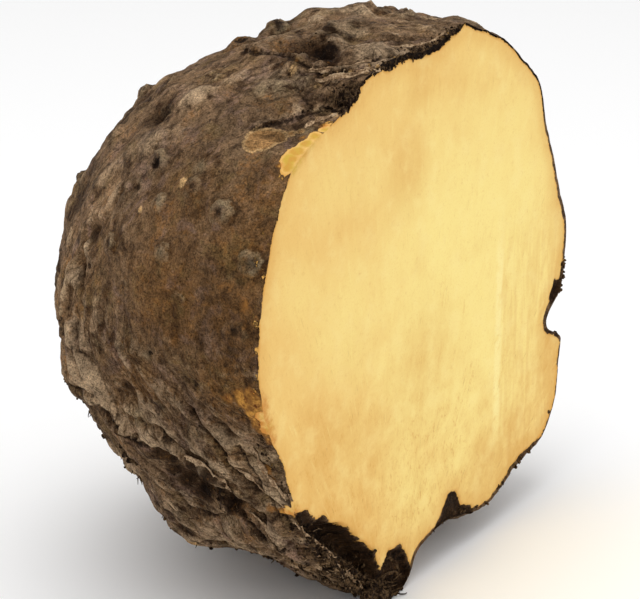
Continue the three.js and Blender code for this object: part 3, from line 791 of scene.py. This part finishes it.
def cut_paint(points, flesh, depth):
    """The paint masks of the cut."""
    face = points[:, [0, 2]]
    # Near black on the torn skin of the foot, towards the top of the cut's rim and in the notches
    blackened = smoothstep(inside_distance(face, BITES[0]), -1, 1)
    blackened *= 0.62 + 0.55 * soft_noise(points * np.array([0.5, 1, 1.6]), 5, 3)
    blackened = np.maximum(blackened, smoothstep(points[:, 2], *BLACK_RIM_HEIGHTS) * 0.9)
    for notch in BITES[1:]:
        blackened = np.maximum(blackened, 0.7 * smoothstep(inside_distance(face, notch), -1, 1))
    paint = dict.fromkeys(PAINT, 0)
    paint.update({"scar": NO_SCAR, "furrow": NO_FURROW, "wide": 1, "narrow": 1, "pits": blackened})
    # Where the cut lies deeper, as in the crevice, its skin reads as a hollow and takes the painted shade
    paint.update({"flesh": flesh, "height": -depth})
    paint["bare"] = spots(points, widened(MARKS["bare"], 1.7, 0.8))
    paint["open"] = spots(points, widened(MARKS["open"], 1.6, 0.9))
    for x, z, radius, strength in FLESH_TONES:
        paint["pulp"] += strength * hump(np.hypot(face[:, 0] - x, face[:, 1] - z) / radius)
    return paint


def skin_paint(plain, turn, paint):
    """The paint masks of the skin, with those of its relief."""
    for name, marks in MARKS.items():
        paint[name] = (fields if name == "tone" else spots)(plain, marks)
    # The skin counts as flesh where it is open, and less so the further behind the cut it lies
    behind = (plain[:, 1] - CUT_Y) * np.sin(turn)
    paint["flesh"] = 6 * np.minimum(paint["open"], 1) - 0.3 - np.minimum(behind, 5)
    paint["pulp"] = 0
    return paint


def shape_corm(sizes):
    """The corm, shaped from a sphere whose poles become the top and the bottom of the cut."""
    select_only()
    segments = SKIN_COLUMNS + CUT_COLUMNS
    bpy.ops.mesh.primitive_uv_sphere_add(segments=segments, ring_count=ROWS, radius=1)
    corm = bpy.context.object
    mesh = corm.data
    ball = np.empty(len(mesh.vertices) * 3)
    mesh.vertices.foreach_get("co", ball)
    x, y, z = ball.reshape(-1, 3).T
    row = np.rint(np.arccos(np.clip(z, -1, 1)) / math.pi * ROWS).astype(int)
    column = np.rint(np.arctan2(y, x) % math.tau / math.tau * segments).astype(int) % segments
    at_pole = (row == 0) | (row == ROWS)
    on_skin = (column <= SKIN_COLUMNS) | at_pole
    turn = skin_columns_turn()[np.where(at_pole[on_skin], SKIN_COLUMNS, column[on_skin])]

    points, solid = np.zeros((2, len(x), 3))
    points[on_skin], solid[on_skin], plain, fine_paint = finished_skin(row[on_skin] / ROWS, turn, sizes)
    grid = np.full((ROWS + 1, segments), -1)
    grid[row, column] = np.arange(len(x))
    left, right = grid[1:ROWS, SKIN_COLUMNS], grid[1:ROWS, 0]
    on_cut = grid[1:ROWS, SKIN_COLUMNS + 1 :].ravel()
    cut = cut_surface(points[left], points[right], solid[left], solid[right], sizes)
    points[on_cut] = cut[0]
    mesh.vertices.foreach_set("co", (points * MM).ravel())
    mesh.update()

    on_skin_paint, on_cut_paint = skin_paint(plain, turn, fine_paint), cut_paint(*cut)
    for name in PAINT:
        values = np.zeros(len(x))
        values[on_skin] = on_skin_paint[name]
        values[on_cut] = on_cut_paint[name]
        mesh.attributes.new(name, "FLOAT", "POINT").data.foreach_set("value", values.astype(np.float32))
    bpy.ops.object.shade_smooth()
    return corm


# Materials

# How glossy the dry skin, flesh and soil are
DRY_GLOSS = 0.05


def connect(node, inputs):
    """Sets a node's inputs to numbers and colours, or links wires to them."""
    for name, value in inputs.items():
        if isinstance(value, Wire):
            value.tree.links.new(value.socket, node.inputs[name])
        else:
            node.inputs[name].default_value = value


def wire(tree, kind, inputs=None, output=0, **settings):
    """An output of a new node with its settings and inputs."""
    node = tree.nodes.new(kind)
    for name, value in settings.items():
        setattr(node, name, value)
    connect(node, inputs or {})
    return Wire(node.outputs[output])


class Wire:
    """A node's output, which plain arithmetic takes on through more nodes of its tree."""

    def __init__(self, socket):
        self.socket = socket
        self.tree = socket.id_data

    def math(self, operation, *values):
        return wire(self.tree, "ShaderNodeMath", dict(enumerate((self, *values))), operation=operation)

    def __add__(self, other):
        return self.math("ADD", other)

    def __sub__(self, other):
        return self.math("SUBTRACT", other)

    def __mul__(self, other):
        return self.math("MULTIPLY", other)

    def ramp(self, low, high, to_low=0.0, to_high=1.0):
        """A value taken smoothly from one range to another."""
        inputs = {"Value": self, "From Min": low, "From Max": high, "To Min": to_low, "To Max": to_high}
        return wire(self.tree, "ShaderNodeMapRange", inputs, interpolation_type="SMOOTHSTEP")

    def band(self, middle, half, soft):
        """One within a band round a middle value, and nothing outside it."""
        return (self - middle).math("ABSOLUTE").ramp(half + soft, half)

    def shifted(self, wobble, amount):
        """A value moved by noise that is centred on one half."""
        return (wobble - 0.5) * amount + self

    def noise(self, size, detail=3.0, rough=0.6, distortion=0.0):
        """Noise at a place, whose lumps are about size millimetres across."""
        inputs = {"Vector": self, "Scale": 1 / (size * MM), "Detail": detail}
        inputs.update({"Roughness": rough, "Distortion": distortion})
        return wire(self.tree, "ShaderNodeTexNoise", inputs, "Fac")

    def distance(self, point):
        """How far a place is from a point in millimetres."""
        inputs = {0: self, 1: tuple(value * MM for value in point)}
        return wire(self.tree, "ShaderNodeVectorMath", inputs, "Value", operation="DISTANCE")

    def split(self):
        """The three coordinates of a place."""
        return wires_of(wire(self.tree, "ShaderNodeSeparateXYZ", {"Vector": self}).socket.node).values()

    def shade(self):
        """A value as a grey colour."""
        inputs = {"Red": self, "Green": self, "Blue": self}
        return wire(self.tree, "ShaderNodeCombineColor", inputs)


def wires_of(node):
    """The outputs of a node by their names."""
    return {socket.name: Wire(socket) for socket in node.outputs}


def blend(share, below, above, mode="MIX"):
    """A colour laid over another one, as strongly as a share says."""
    tree = next(value.tree for value in (share, below, above) if isinstance(value, Wire))
    inputs = {0: share, 6: below, 7: above}
    return wire(tree, "ShaderNodeMix", inputs, 2, data_type="RGBA", blend_type=mode, clamp_factor=True)


def mean(share, first, second):
    """A value between two others."""
    return wire(share.tree, "ShaderNodeMix", {0: share, 2: first, 3: second}, data_type="FLOAT")


def rgba(tint):
    return (*tint, 1.0)


def layered(tint, colours, layers):
    """Colours laid over one another: each layer is its share and its colour's name."""
    for share, name in layers:
        tint = blend(share, tint, rgba(getattr(colours, name)))
    return tint


def new_group(name, labels, results):
    """A node group that reads a place and values; the first of its results is a colour."""
    tree = bpy.data.node_groups.new(name, "ShaderNodeTree")
    kinds = {"Vector": "NodeSocketVector", results[0]: "NodeSocketColor"}
    for direction, sockets in (("INPUT", ("Vector", *labels)), ("OUTPUT", results)):
        for label in sockets:
            kind = kinds.get(label, "NodeSocketFloat")
            tree.interface.new_socket(name=label, in_out=direction, socket_type=kind)
    given = wires_of(tree.nodes.new("NodeGroupInput"))
    return given, tree.nodes.new("NodeGroupOutput")


def placed_group(tree, name, inputs):
    """The results of a node group placed in another tree."""
    return wires_of(wire(tree, "ShaderNodeGroup", inputs, node_tree=bpy.data.node_groups[name]).socket.node)


def grain_group():
    """Fine grain of dry bark and soil: light and dark specks and their height."""
    given, made = new_group("yam_grain", ("Contrast",), ("Shade", "Bump"))
    speckle = given["Vector"].noise(1.4, 4, 0.75)
    dust = given["Vector"].noise(0.6, 2, 0.6)
    shade = ((speckle + dust - 1.0) * given["Contrast"] + 1.0).math("MAXIMUM", 0.15)
    connect(made, {"Shade": shade.shade(), "Bump": speckle * 1.4 + dust * 0.5})


def swirl(at, eye, wide, long):
    """Fine noise drawn out along circles round an eye."""
    x, y, z = at.split()
    drawn = {"X": at.distance(eye), "Y": x * (wide / long), "Z": (y + z) * (wide / long)}
    return wire(at.tree, "ShaderNodeCombineXYZ", drawn).noise(wide, 3, 0.6, 0.3)


def bark_group(colours):
    """The dry brown skin: colour, with painted highlights on its crests and painted shade in its hollows,
    creases and pits, and roughness and height over its surface.
    """
    given, made = new_group("yam_bark", [name.title() for name in BARK_PAINT], ("Color", "Roughness", "Bump"))
    at, height, calm, warm, pale = (given[label] for label in ("Vector", "Height", "Calm", "Warm", "Pale"))
    broad, hue = at.noise(17), at.noise(13, 3, 0.6, 0.8)
    patch, blot = at.noise(8, 5, 0.7, 0.6), at.noise(3.2, 3, 0.6, 0.5)
    mottle, fleck = at.noise(4.2, 6, 0.68, 0.4), at.noise(1.6, 4, 0.7)
    _, _, z = at.split()
    upper = z.ramp(*[level * MM for level in EYE_CHANGE])
    lines = mean(upper, *[swirl(at, eye, *PAINTED_LINES) for eye in (LOWER_EYE, UPPER_EYE)])
    busy = calm * -0.75 + 1
    rough = busy * (given["Quiet"] * -0.75 + 1)
    tone = broad * 0.4 + mottle * 0.6
    scab = given["Tan"].shifted(fleck, 0.5)
    scar = given["Scar"].shifted(fleck, 0.8)
    # Painted shade along the furrows and just under the ledges
    furrow_shade = given["Furrow"].shifted(fleck, 2.6).ramp(1.3, 0.3)
    pits = given["Pits"].shifted(mottle, 0.9)
    wide, narrow = (given[label].math("ABSOLUTE").shifted(fleck, 0.16) for label in ("Wide", "Narrow"))
    tint = layered(rgba(colours.bark_dark_and_shade), colours, [
        (tone.ramp(0.36, 0.56), "bark_mid"),
        (warm * tone.ramp(0.3, 0.5, 0.5, 0.95), "bark_warm"),
        (hue.ramp(0.52, 0.66) * mottle.ramp(0.35, 0.6) * 0.5, "olive"),
        (hue.ramp(0.46, 0.34) * mottle.ramp(0.3, 0.6) * warm.ramp(0.0, 1.0, 0.55, 0.3), "mauve"),
        (warm * patch.ramp(0.47, 0.3) * 0.6, "bark_dark_and_shade"),
        (warm * patch.ramp(0.56, 0.72) * 0.35, "olive"),
        (warm * blot.ramp(0.5, 0.68) * 0.45, "rust"),
        (warm * blot.ramp(0.45, 0.3) * 0.3, "bark_dark_and_shade"),
        (broad.ramp(0.56, 0.7) * fleck.ramp(0.4, 0.6) * 0.5, "rust"),
        # Painted highlight: the crests of the relief are lightened
        (height.shifted(mottle, 3.5).ramp(0.1, 2.0) * busy * 0.8, "bark_light_and_highlight"),
        (lines.ramp(0.54, 0.7) * busy * 0.3, "bark_light_and_highlight"),
        (lines.ramp(0.46, 0.34) * rough * 0.3, "bark_dark_and_shade"),
        (given["Grey"] * mottle.ramp(0.38, 0.56) * 0.8, "grey"),
        (scab.ramp(0.22, 0.4) * 0.85, "tan"),
        (scab.ramp(0.5, 0.68) * 0.55, "rust"),
        # Painted shade: the hollows of the relief are darkened
        (height.shifted(fleck, 1.6).ramp(-0.3, -2.0) * 0.85, "bark_dark_and_shade"),
        # Painted shade along the creases of the long and the short wrinkles
        (wide.ramp(0.075, 0.0) * rough * 0.65, "bark_dark_and_shade"),
        (narrow.ramp(0.06, 0.0) * rough * 0.65, "bark_dark_and_shade"),
        (scar.band(1.15, 0.05, 0.2) * pale * 0.7, "bark_dark_and_shade"),
        (scar.ramp(0.8, 0.6) * pale * 0.3, "slate"),
        (scar.band(0.8, 0.08, 0.22) * pale * mottle.ramp(0.3, 0.6) * 0.8, "grey"),
        (scar.ramp(0.55, 0.25) * given["Dark"], "soot_and_shade"),
        (furrow_shade * 0.9, "soot_and_shade"),
        # Painted shade in the pits and hollows of the bark, darkest as soot, and the soot of its crumbs and
        # of the cut's dark rim
        (pits.ramp(0.08, 0.6) * 0.9, "bark_dark_and_shade"),
        (pits.ramp(0.5, 0.95), "soot_and_shade"),
        (given["Pits"].ramp(0.3, 0.6) * fleck.ramp(0.55, 0.68) * 0.35, "crumb"),
    ])
    grain = placed_group(at.tree, "yam_grain", {"Vector": at, "Contrast": calm.ramp(0.0, 1.0, 2.4, 2.3)})
    tint = blend(1.0, tint, grain["Shade"], "MULTIPLY")
    # Random patches and the tone marks multiply the colour: painted light and shade over the bark's broad
    # tones
    tint = blend(1.0, tint, (patch.ramp(0.32, 0.68, 0.72, 1.26) + given["Tone"]).shade(), "MULTIPLY")
    bumps = mottle * 1.2 + grain["Bump"] + fleck * 1.5 + lines * rough * 1.6 - furrow_shade * 0.8
    connect(made, {"Color": tint, "Roughness": mottle.ramp(0.3, 0.7, 0.6, 0.85), "Bump": bumps})


def cut_noise(x, z, wide, high, detail, distortion):
    """Noise on the cut whose lumps are so wide and so high in millimetres."""
    at = wire(x.tree, "ShaderNodeCombineXYZ", {"X": x, "Z": z * (wide / high)})
    return at.noise(wide, detail, 0.5, distortion)


def flesh_group(colours):
    """The cut flesh: pale in the middle, warmer to its rim, with fibres that meet at the foot."""
    given, made = new_group("yam_flesh", ("Depth", "Pulp"), ("Color", "Roughness", "Bump"))
    at, depth = given["Vector"], given["Depth"]
    x, _, z = at.split()
    fan = (x - FLESH_FOOT[0] * MM).math("ARCTAN2", z - FLESH_FOOT[2] * MM)
    fan_at = wire(at.tree, "ShaderNodeCombineXYZ", {"X": fan, "Y": at.distance(FLESH_FOOT) * 0.8})
    fibres = fan_at.noise(1 / (FAN_FIBRES * MM), 4)
    cloud, patch, fine, wax = at.noise(28, 4), at.noise(9, 4), at.noise(0.8, 3, 0.7), at.noise(5, 3, 0.6, 0.4)
    streaks = cut_noise(x, z, 5, 30, 4, 1.2)
    marks = cut_noise(x, z, 1.3, 3, 3, 1.6)
    specks = wire(at.tree, "ShaderNodeTexVoronoi", {"Vector": fan_at, "Scale": FAN_SPECKS}, "Distance")
    outer = at.distance(FLESH_MIDDLE).shifted(cloud, 0.07).ramp(0.03, 0.12)
    pulp = given["Pulp"] * patch.ramp(0.3, 0.65, 0.75, 1.25)
    low = z.ramp(0.10, 0.0)
    step = x - KNIFE_LINE * MM
    beyond = step.ramp(-0.002, 0.004) * z.ramp(0.14, 0.09)
    clear = patch.ramp(0.42, 0.62) * z.ramp(0.15, 0.05, 0.6, 1.0)
    # A pale cream band along the knife's line: painted highlight on its step, with pale streaks of the flesh
    ridge = step.band(0.0, 0.0012, 0.003) * z.ramp(0.13, 0.1) * z.ramp(0.03, 0.05) * wax.ramp(0.3, 0.55)
    dense = (low * 0.2 + patch).ramp(0.42, 0.74) * z.ramp(0.15, 0.06, 0.2, 1.0)
    tint = blend(outer, rgba(colours.flesh_pale), rgba(colours.flesh_peach))
    tint = layered(tint, colours, [
        (pulp, "flesh_pale"),
        (pulp * -1.0, "flesh_orange"),
        (low * patch.ramp(0.42, 0.68) * x.ramp(0.01, -0.06, 0.3, 0.5), "flesh_orange"),
        ((depth + patch * 6).ramp(12.0, 2.5) * 0.4, "flesh_orange"),
        (depth.ramp(1.4, 0.0) * 0.65, "flesh_orange"),
        (beyond * streaks.ramp(0.35, 0.65) * 0.26, "flesh_orange"),
        (fibres.ramp(0.5, 0.72) * clear * 0.16, "flesh_orange"),
        (fibres.ramp(0.46, 0.3) * clear * 0.35, "flesh_cream"),
        (patch.ramp(0.5, 0.3) * 0.22, "flesh_cream"),
        (cloud.ramp(0.48, 0.72) * 0.12, "flesh_orange"),
        (ridge, "flesh_cream"),
        (marks.ramp(0.54, 0.72) * dense * x.ramp(0.06, 0.02, 0.35, 1.0) * 0.6, "flesh_orange"),
        (fine.ramp(0.5, 0.75) * 0.25, "flesh_orange"),
        (specks.ramp(0.22, 0.06) * patch.ramp(0.5, 0.66) * z.ramp(0.15, 0.04, 0.15, 0.7), "flesh_speck"),
    ])
    connect(made, {"Color": tint, "Roughness": patch.ramp(0.3, 0.7, 0.5, 0.62), "Bump": fibres + patch * 0.3})


def new_material(name):
    """A dry material, its shader and the place on the object."""
    material = bpy.data.materials.new(name)
    material.use_nodes = True
    tree = material.node_tree
    shader = tree.nodes["Principled BSDF"]
    shader.inputs["Specular IOR Level"].default_value = DRY_GLOSS
    return material, shader, wire(tree, "ShaderNodeTexCoord", output="Object")


def bump(height, distance):
    inputs = {"Height": height, "Distance": distance * MM, "Strength": 1.0}
    return wire(height.tree, "ShaderNodeBump", inputs)


def corm_material(colours):
    """One skin and flesh material, which the depth into the flesh tells apart."""
    material, shader, at = new_material("yam_skin_and_flesh")
    tree = at.tree
    mark = {name: wire(tree, "ShaderNodeAttribute", output="Fac", attribute_name=name) for name in PAINT}
    bark = placed_group(tree, "yam_bark", {"Vector": at, **{name.title(): mark[name] for name in BARK_PAINT}})
    flesh = placed_group(tree, "yam_flesh", {"Vector": at, "Depth": mark["flesh"], "Pulp": mark["pulp"]})
    torn, wavy = at.noise(1.3, 4, 0.7), at.noise(5, 3, 0.6)
    dots, soaked = at.noise(2.6, 3, 0.6), at.noise(5, 4, 0.6)
    ragged = mark["flesh"].shifted(torn, 1.8).shifted(wavy, 2.2)
    is_flesh = ragged.ramp(-0.08, 0.12)
    patchy = mark["bare"].shifted(at.noise(2.6, 5, 0.72), 1.5)
    peeled = mark["open"].shifted(torn, 0.6).ramp(0.05, 0.8) * 0.85
    bare = layered(rgba(colours.rust), colours, [
        (dots.ramp(0.36, 0.56), "flesh_orange"),
        (soaked.ramp(0.42, 0.6) * 0.85, "rust"),
    ])
    skin = layered(bark["Color"], colours, [(patchy.ramp(0.1, 0.5) * 0.75, "rust")])
    skin = blend(patchy.ramp(0.38, 0.85), skin, bare)
    skin = layered(skin, colours, [(patchy.ramp(0.1, 0.5) * dots.ramp(0.42, 0.32) * 0.9, "stain")])
    thin_skin = layered(rgba(colours.flesh_yellow), colours, [
        (soaked.ramp(0.42, 0.6, 0.0, 0.5), "juice"),
        (ragged.ramp(1.6, 0.4), "tan"),
    ])
    pulp = blend(peeled, flesh["Color"], thin_skin)
    pulp = layered(pulp, colours, [(patchy.ramp(0.05, 0.9) * 0.75, "juice")])
    connect(shader, {
        "Base Color": blend(is_flesh, skin, pulp),
        "Roughness": mean(is_flesh, bark["Roughness"], flesh["Roughness"]),
        "Normal": bump(mean(is_flesh, bark["Bump"], flesh["Bump"] * 0.12), 0.8),
    })
    return material


def dry_material(name, colours):
    """A dry, grainy material between two colours, for crumbs, strips and fibres."""
    first, second, contrast = DRY_FINISHES[name]
    material, shader, at = new_material(name)
    grain = placed_group(at.tree, "yam_grain", {"Vector": at, "Contrast": contrast})
    tint = layered(rgba(getattr(colours, first)), colours, [(at.noise(2.4, 4, 0.7).ramp(0.42, 0.62), second)])
    connect(shader, {
        "Base Color": blend(1.0, tint, grain["Shade"], "MULTIPLY"),
        "Roughness": at.noise(1.2).ramp(0.3, 0.7, 0.6, 0.9),
        "Normal": bump(grain["Bump"], 0.3),
    })
    return material


# Pieces


class YAM_OT_corm(bpy.types.Operator):
    """Shapes the cut corm and gives it its skin and flesh"""

    bl_idname = "yam.corm"
    bl_label = "Cut corm"

    def execute(self, context):
        scene = context.scene
        grain_group()
        bark_group(scene.yam_colours)
        flesh_group(scene.yam_colours)
        corm = name_piece(shape_corm(scene.yam_sizes), "corm", corm_material(scene.yam_colours))
        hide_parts(NODE)
        return {"FINISHED"}


def finished_corm():
    corm = bpy.data.objects.get("corm")
    if corm is None:
        raise RuntimeError("The cut corm has to be built first")
    bpy.context.view_layer.update()
    return corm


def place_on(corm, point):
    """The nearest place on the corm to a point in millimetres, its normal, and how deep in flesh it is."""
    _, at, normal, face = corm.closest_point_on_mesh(Vector(point) * MM)
    corner = corm.data.polygons[face].vertices[0]
    return at, normal, corm.data.attributes["flesh"].data[corner].value


def near_path(path, stray, chance):
    """A random point in millimetres that strays from a line of places on the skin."""
    ends = places(path)
    lengths = np.linalg.norm(np.diff(ends, axis=0), axis=1)
    reach = chance.random() * lengths.sum()
    knots = np.concatenate([[0], np.cumsum(lengths)])
    return [float(np.interp(reach, knots, ends[:, axis])) + chance.gauss(0, stray) for axis in range(3)]


def any_way(most, chance):
    return [chance.uniform(-most, most) for _ in range(3)]


class YAM_OT_crumbs(bpy.types.Operator):
    """Scatters crumbs of bark and soil along the skin's torn edges, its pits and its foot"""

    bl_idname = "yam.crumbs"
    bl_label = "Crumbs"

    def execute(self, context):
        corm = finished_corm()
        chance = random.Random(CRUMB_SEED)
        select_only()
        bpy.ops.mesh.primitive_ico_sphere_add(subdivisions=1, radius=1)
        model = context.object
        for vertex in model.data.vertices:
            vertex.co *= chance.uniform(0.6, 1.3)
        copies = []
        for count, stray, most, path in CRUMBS:
            for _ in range(count):
                at, normal, flesh = place_on(corm, near_path(path, stray, chance))
                size = most * MM * chance.choice(CRUMB_SIZES)
                long, low = size * chance.uniform(0.8, 1.9), size * chance.uniform(0.4, 0.9)
                turn = Euler([chance.uniform(0, math.tau) for _ in range(3)]).to_matrix().to_4x4()
                if flesh >= CRUMB_LIMIT:
                    continue
                copy = model.copy()
                copy.data = model.data.copy()
                stretch = Matrix.Diagonal((long, size, low, 1))
                copy.data.transform(Matrix.Translation(at + normal * size * 0.1) @ turn @ stretch)
                for vertex in copy.data.vertices:
                    vertex.co.z = max(vertex.co.z, 0)
                copies.append(copy)
        for copy in copies:
            context.scene.collection.objects.link(copy)
        bpy.data.objects.remove(model)
        select_only(*copies)
        bpy.ops.object.join()
        name_piece(context.object, "crumbs", dry_material("crumb_soil", context.scene.yam_colours))
        return {"FINISHED"}


class YAM_OT_strips(bpy.types.Operator):
    """Lays torn strips of bark beside the cut, over the hollow and in the crevice at the foot"""

    bl_idname = "yam.strips"
    bl_label = "Torn strips"

    def execute(self, context):
        corm = finished_corm()
        for tone, strips in STRIPS.items():
            select_only(*[shape_strip(corm, *strip) for strip in strips])
            bpy.ops.object.join()
            bpy.ops.object.shade_smooth()
            finish = dry_material("strip_" + tone, context.scene.yam_colours)
            name_piece(context.object, tone + "_strips", finish)
        return {"FINISHED"}


def shape_strip(corm, width, lift, on_cut, path):
    """One strip of bark: a grid laid along its line on the corm, thickened, with one edge curled up."""
    middle = curve_through([[x, CUT_Y + 1, z] for x, z in path] if on_cut else places(path))
    select_only()
    bpy.ops.mesh.primitive_grid_add(x_subdivisions=STRIP_GRID[0], y_subdivisions=STRIP_GRID[1], size=2)
    piece = bpy.context.object
    for vertex in piece.data.vertices:
        share, side = (vertex.co.x + 1) / 2, vertex.co.y
        here, ahead = middle([share, min(share + 0.02, 1)])
        behind = middle([max(share - 0.02, 0)])[0]
        _, normal, _ = place_on(corm, here)
        across = normal.cross(Vector(ahead - behind)).normalized()
        jagged = 0.7 + 0.9 * noise.noise(Vector((here[0] / 3, here[2] / 3, 4 * side)))
        half = width / 2 * jagged * min(1, 4 * share + 0.1, 4 * (1 - share) + 0.1)
        at, normal, _ = place_on(corm, Vector(here) + across * side * half)
        curl = max(side, 0) * lift * (0.6 + 0.8 * noise.noise(Vector(here) / 6))
        vertex.co = at + normal * (STRIP_GAP + curl) * MM
        vertex.co.z = max(vertex.co.z, 2 * STRIP_GAP * MM)
    bpy.ops.object.modifier_add(type="SOLIDIFY")
    piece.modifiers[-1].thickness = STRIP_THICKNESS * MM
    bpy.ops.object.modifier_apply(modifier=piece.modifiers[-1].name)
    return piece


class YAM_OT_fibres(bpy.types.Operator):
    """Lays dry fibres and hairs on the foot, along the torn edges and in the recess at the top"""

    bl_idname = "yam.fibres"
    bl_label = "Fibres and hairs"

    def execute(self, context):
        corm = finished_corm()
        chance = random.Random(FIBRE_SEED)
        for tone, regions in FIBRES.items():
            curve = bpy.data.curves.new(tone + "_fibres", "CURVE")
            curve.dimensions = "3D"
            curve.bevel_depth = 1
            curve.bevel_resolution = 1
            curve.use_fill_caps = True
            for count, stray, reach, thickness, hugs, toward, path in regions:
                for _ in range(count):
                    start = near_path(path, stray, chance)
                    line = fibre_line(corm, start, Vector(toward), reach, thickness, hugs, chance)
                    add_fibre(curve, line, thickness)
            select_only()
            fibres = bpy.data.objects.new(tone + "_fibres", curve)
            context.scene.collection.objects.link(fibres)
            select_only(fibres)
            bpy.ops.object.convert(target="MESH")
            bpy.ops.object.shade_smooth()
            finish = dry_material("fibre_" + tone, context.scene.yam_colours)
            name_piece(fibres, tone + "_fibres", finish)
        return {"FINISHED"}


def fibre_line(corm, start, toward, reach, thickness, hugs, chance):
    """Points of a fibre that leaves its start on the corm and lies on it or hangs free of it."""
    step = reach * chance.uniform(0.5, 1.2) / FIBRE_STEPS
    at, normal, flesh = place_on(corm, start)
    if flesh > FIBRE_LIMIT:
        return []
    line = [at - normal * 0.4 * MM]
    heading = (toward.normalized() + Vector(any_way(0.5, chance))).normalized()
    for _ in range(FIBRE_STEPS):
        heading = (heading + Vector(any_way(0.3, chance))).normalized()
        ahead = line[-1] + heading * step * MM
        if hugs:
            at, normal, flesh = place_on(corm, ahead / MM)
            if flesh > FIBRE_LIMIT or (at - line[-1]).length > 2 * step * MM:
                break
            ahead = at + normal * thickness * MM * chance.uniform(0, 0.4)
        ahead.z = max(ahead.z, thickness * MM)
        ahead.y = max(ahead.y, (CUT_Y - FIBRE_OVERHANG) * MM)
        line.append(ahead)
    return line


def add_fibre(curve, line, thickness):
    """One fibre along its line, thickest before its middle."""
    if len(line) < 4:
        return
    spline = curve.splines.new("NURBS")
    spline.points.add(len(line) - 1)
    spline.use_endpoint_u = True
    spline.order_u = 3
    spline.resolution_u = 3
    for step, (point, place) in enumerate(zip(spline.points, line)):
        point.co = (*place, 1)
        point.radius = thickness * MM * 0.5 * (1 - 0.9 * abs(step / (len(line) - 1) - 0.4))


# Studio

# The camera of the photo: degrees round from the front of the cut and above the floor, how far it
# stands from the point that it looks at, and that point
CAMERA_ROUND = 58
CAMERA_UP = 19
CAMERA_AWAY = 0.9
CAMERA_TARGET = Vector((-0.071, -0.056, 0.129))
SENSOR = 36
LENS = 152.04
# Soft round lights: place, the point that they shine at, and width
FRONT_LIGHT = ((0.55, -1.5, 0.7), (0, 0, 0.05), 1.2)
TOP_LIGHT = ((-0.3, 0.0, 1.7), (-0.05, 0, 0.1), 1.5)
FLOOR_SIZE = 30
FLOOR_ROUGHNESS = 0.9


def area_light(name, power, place, target, size):
    """A soft round light that shines from a place at a target."""
    data = bpy.data.lights.new(name, "AREA")
    data.energy = power
    data.shape = "DISK"
    data.size = size
    light = bpy.data.objects.new(name, data)
    bpy.context.scene.collection.objects.link(light)
    light.location = place
    light.rotation_euler = (Vector(target) - Vector(place)).to_track_quat("-Z", "Y").to_euler()


def floor_material(tint):
    material = bpy.data.materials.new("floor_paper")
    material.use_nodes = True
    inputs = {"Base Color": rgba(tint), "Roughness": FLOOR_ROUGHNESS}
    connect(material.node_tree.nodes["Principled BSDF"], inputs)
    return material


class YAM_OT_stage(bpy.types.Operator):
    """Sets up the pale floor, the soft lights and the camera"""

    bl_idname = "yam.stage"
    bl_label = "Floor, lights and camera"

    def execute(self, context):
        studio = context.scene.yam_studio
        select_only()
        bpy.ops.mesh.primitive_plane_add(size=FLOOR_SIZE, location=(0, 0, 0))
        floor = context.object
        floor.name = "floor"
        floor.data.materials.append(floor_material(studio.floor))

        world = bpy.data.worlds.new("studio")
        world.use_nodes = True
        connect(world.node_tree.nodes["Background"], {"Color": (1, 1, 1, 1), "Strength": studio.surround})
        context.scene.world = world
        context.scene.view_settings.view_transform = "Standard"

        area_light("front_light", studio.key, *FRONT_LIGHT)
        area_light("top_light", studio.top, *TOP_LIGHT)

        angle, tilt = math.radians(CAMERA_ROUND), math.radians(CAMERA_UP)
        away = Vector((-math.sin(angle) * math.cos(tilt), -math.cos(angle) * math.cos(tilt), math.sin(tilt)))
        data = bpy.data.cameras.new("photo_camera")
        data.sensor_width = SENSOR
        data.lens = LENS
        camera = bpy.data.objects.new("photo_camera", data)
        context.scene.collection.objects.link(camera)
        camera.location = CAMERA_TARGET + away * CAMERA_AWAY
        camera.rotation_euler = (-away).to_track_quat("-Z", "Y").to_euler()
        context.scene.camera = camera
        return {"FINISHED"}


class VIEW3D_PT_yam(bpy.types.Panel):
    """Lists the steps that build the yam"""

    bl_label = "Cut yam"
    bl_space_type = "VIEW_3D"
    bl_region_type = "UI"
    bl_category = "Yam"

    def draw(self, context):
        for operator in OPERATORS:
            self.layout.operator(operator.bl_idname)
        for group in (context.scene.yam_sizes, context.scene.yam_colours, context.scene.yam_studio):
            for name in group.bl_rna.properties.keys():
                if name not in ("rna_type", "name"):
                    self.layout.prop(group, name)


OPERATORS = (YAM_OT_corm, YAM_OT_crumbs, YAM_OT_strips, YAM_OT_fibres, YAM_OT_stage)
SETTINGS = {"yam_sizes": YamSizes, "yam_colours": YamColours, "yam_studio": YamStudio}


def register():
    for group in (*SETTINGS.values(), *OPERATORS, VIEW3D_PT_yam):
        bpy.utils.register_class(group)
    for name, group in SETTINGS.items():
        setattr(bpy.types.Scene, name, bpy.props.PointerProperty(type=group))


def unregister():
    for name in SETTINGS:
        delattr(bpy.types.Scene, name)
    for group in (VIEW3D_PT_yam, *OPERATORS, *SETTINGS.values()):
        bpy.utils.unregister_class(group)


def main():
    register()
    bpy.ops.yam.corm()
    bpy.ops.yam.crumbs()
    bpy.ops.yam.strips()
    bpy.ops.yam.fibres()
    bpy.ops.yam.stage()


if __name__ == "__main__":
    main()
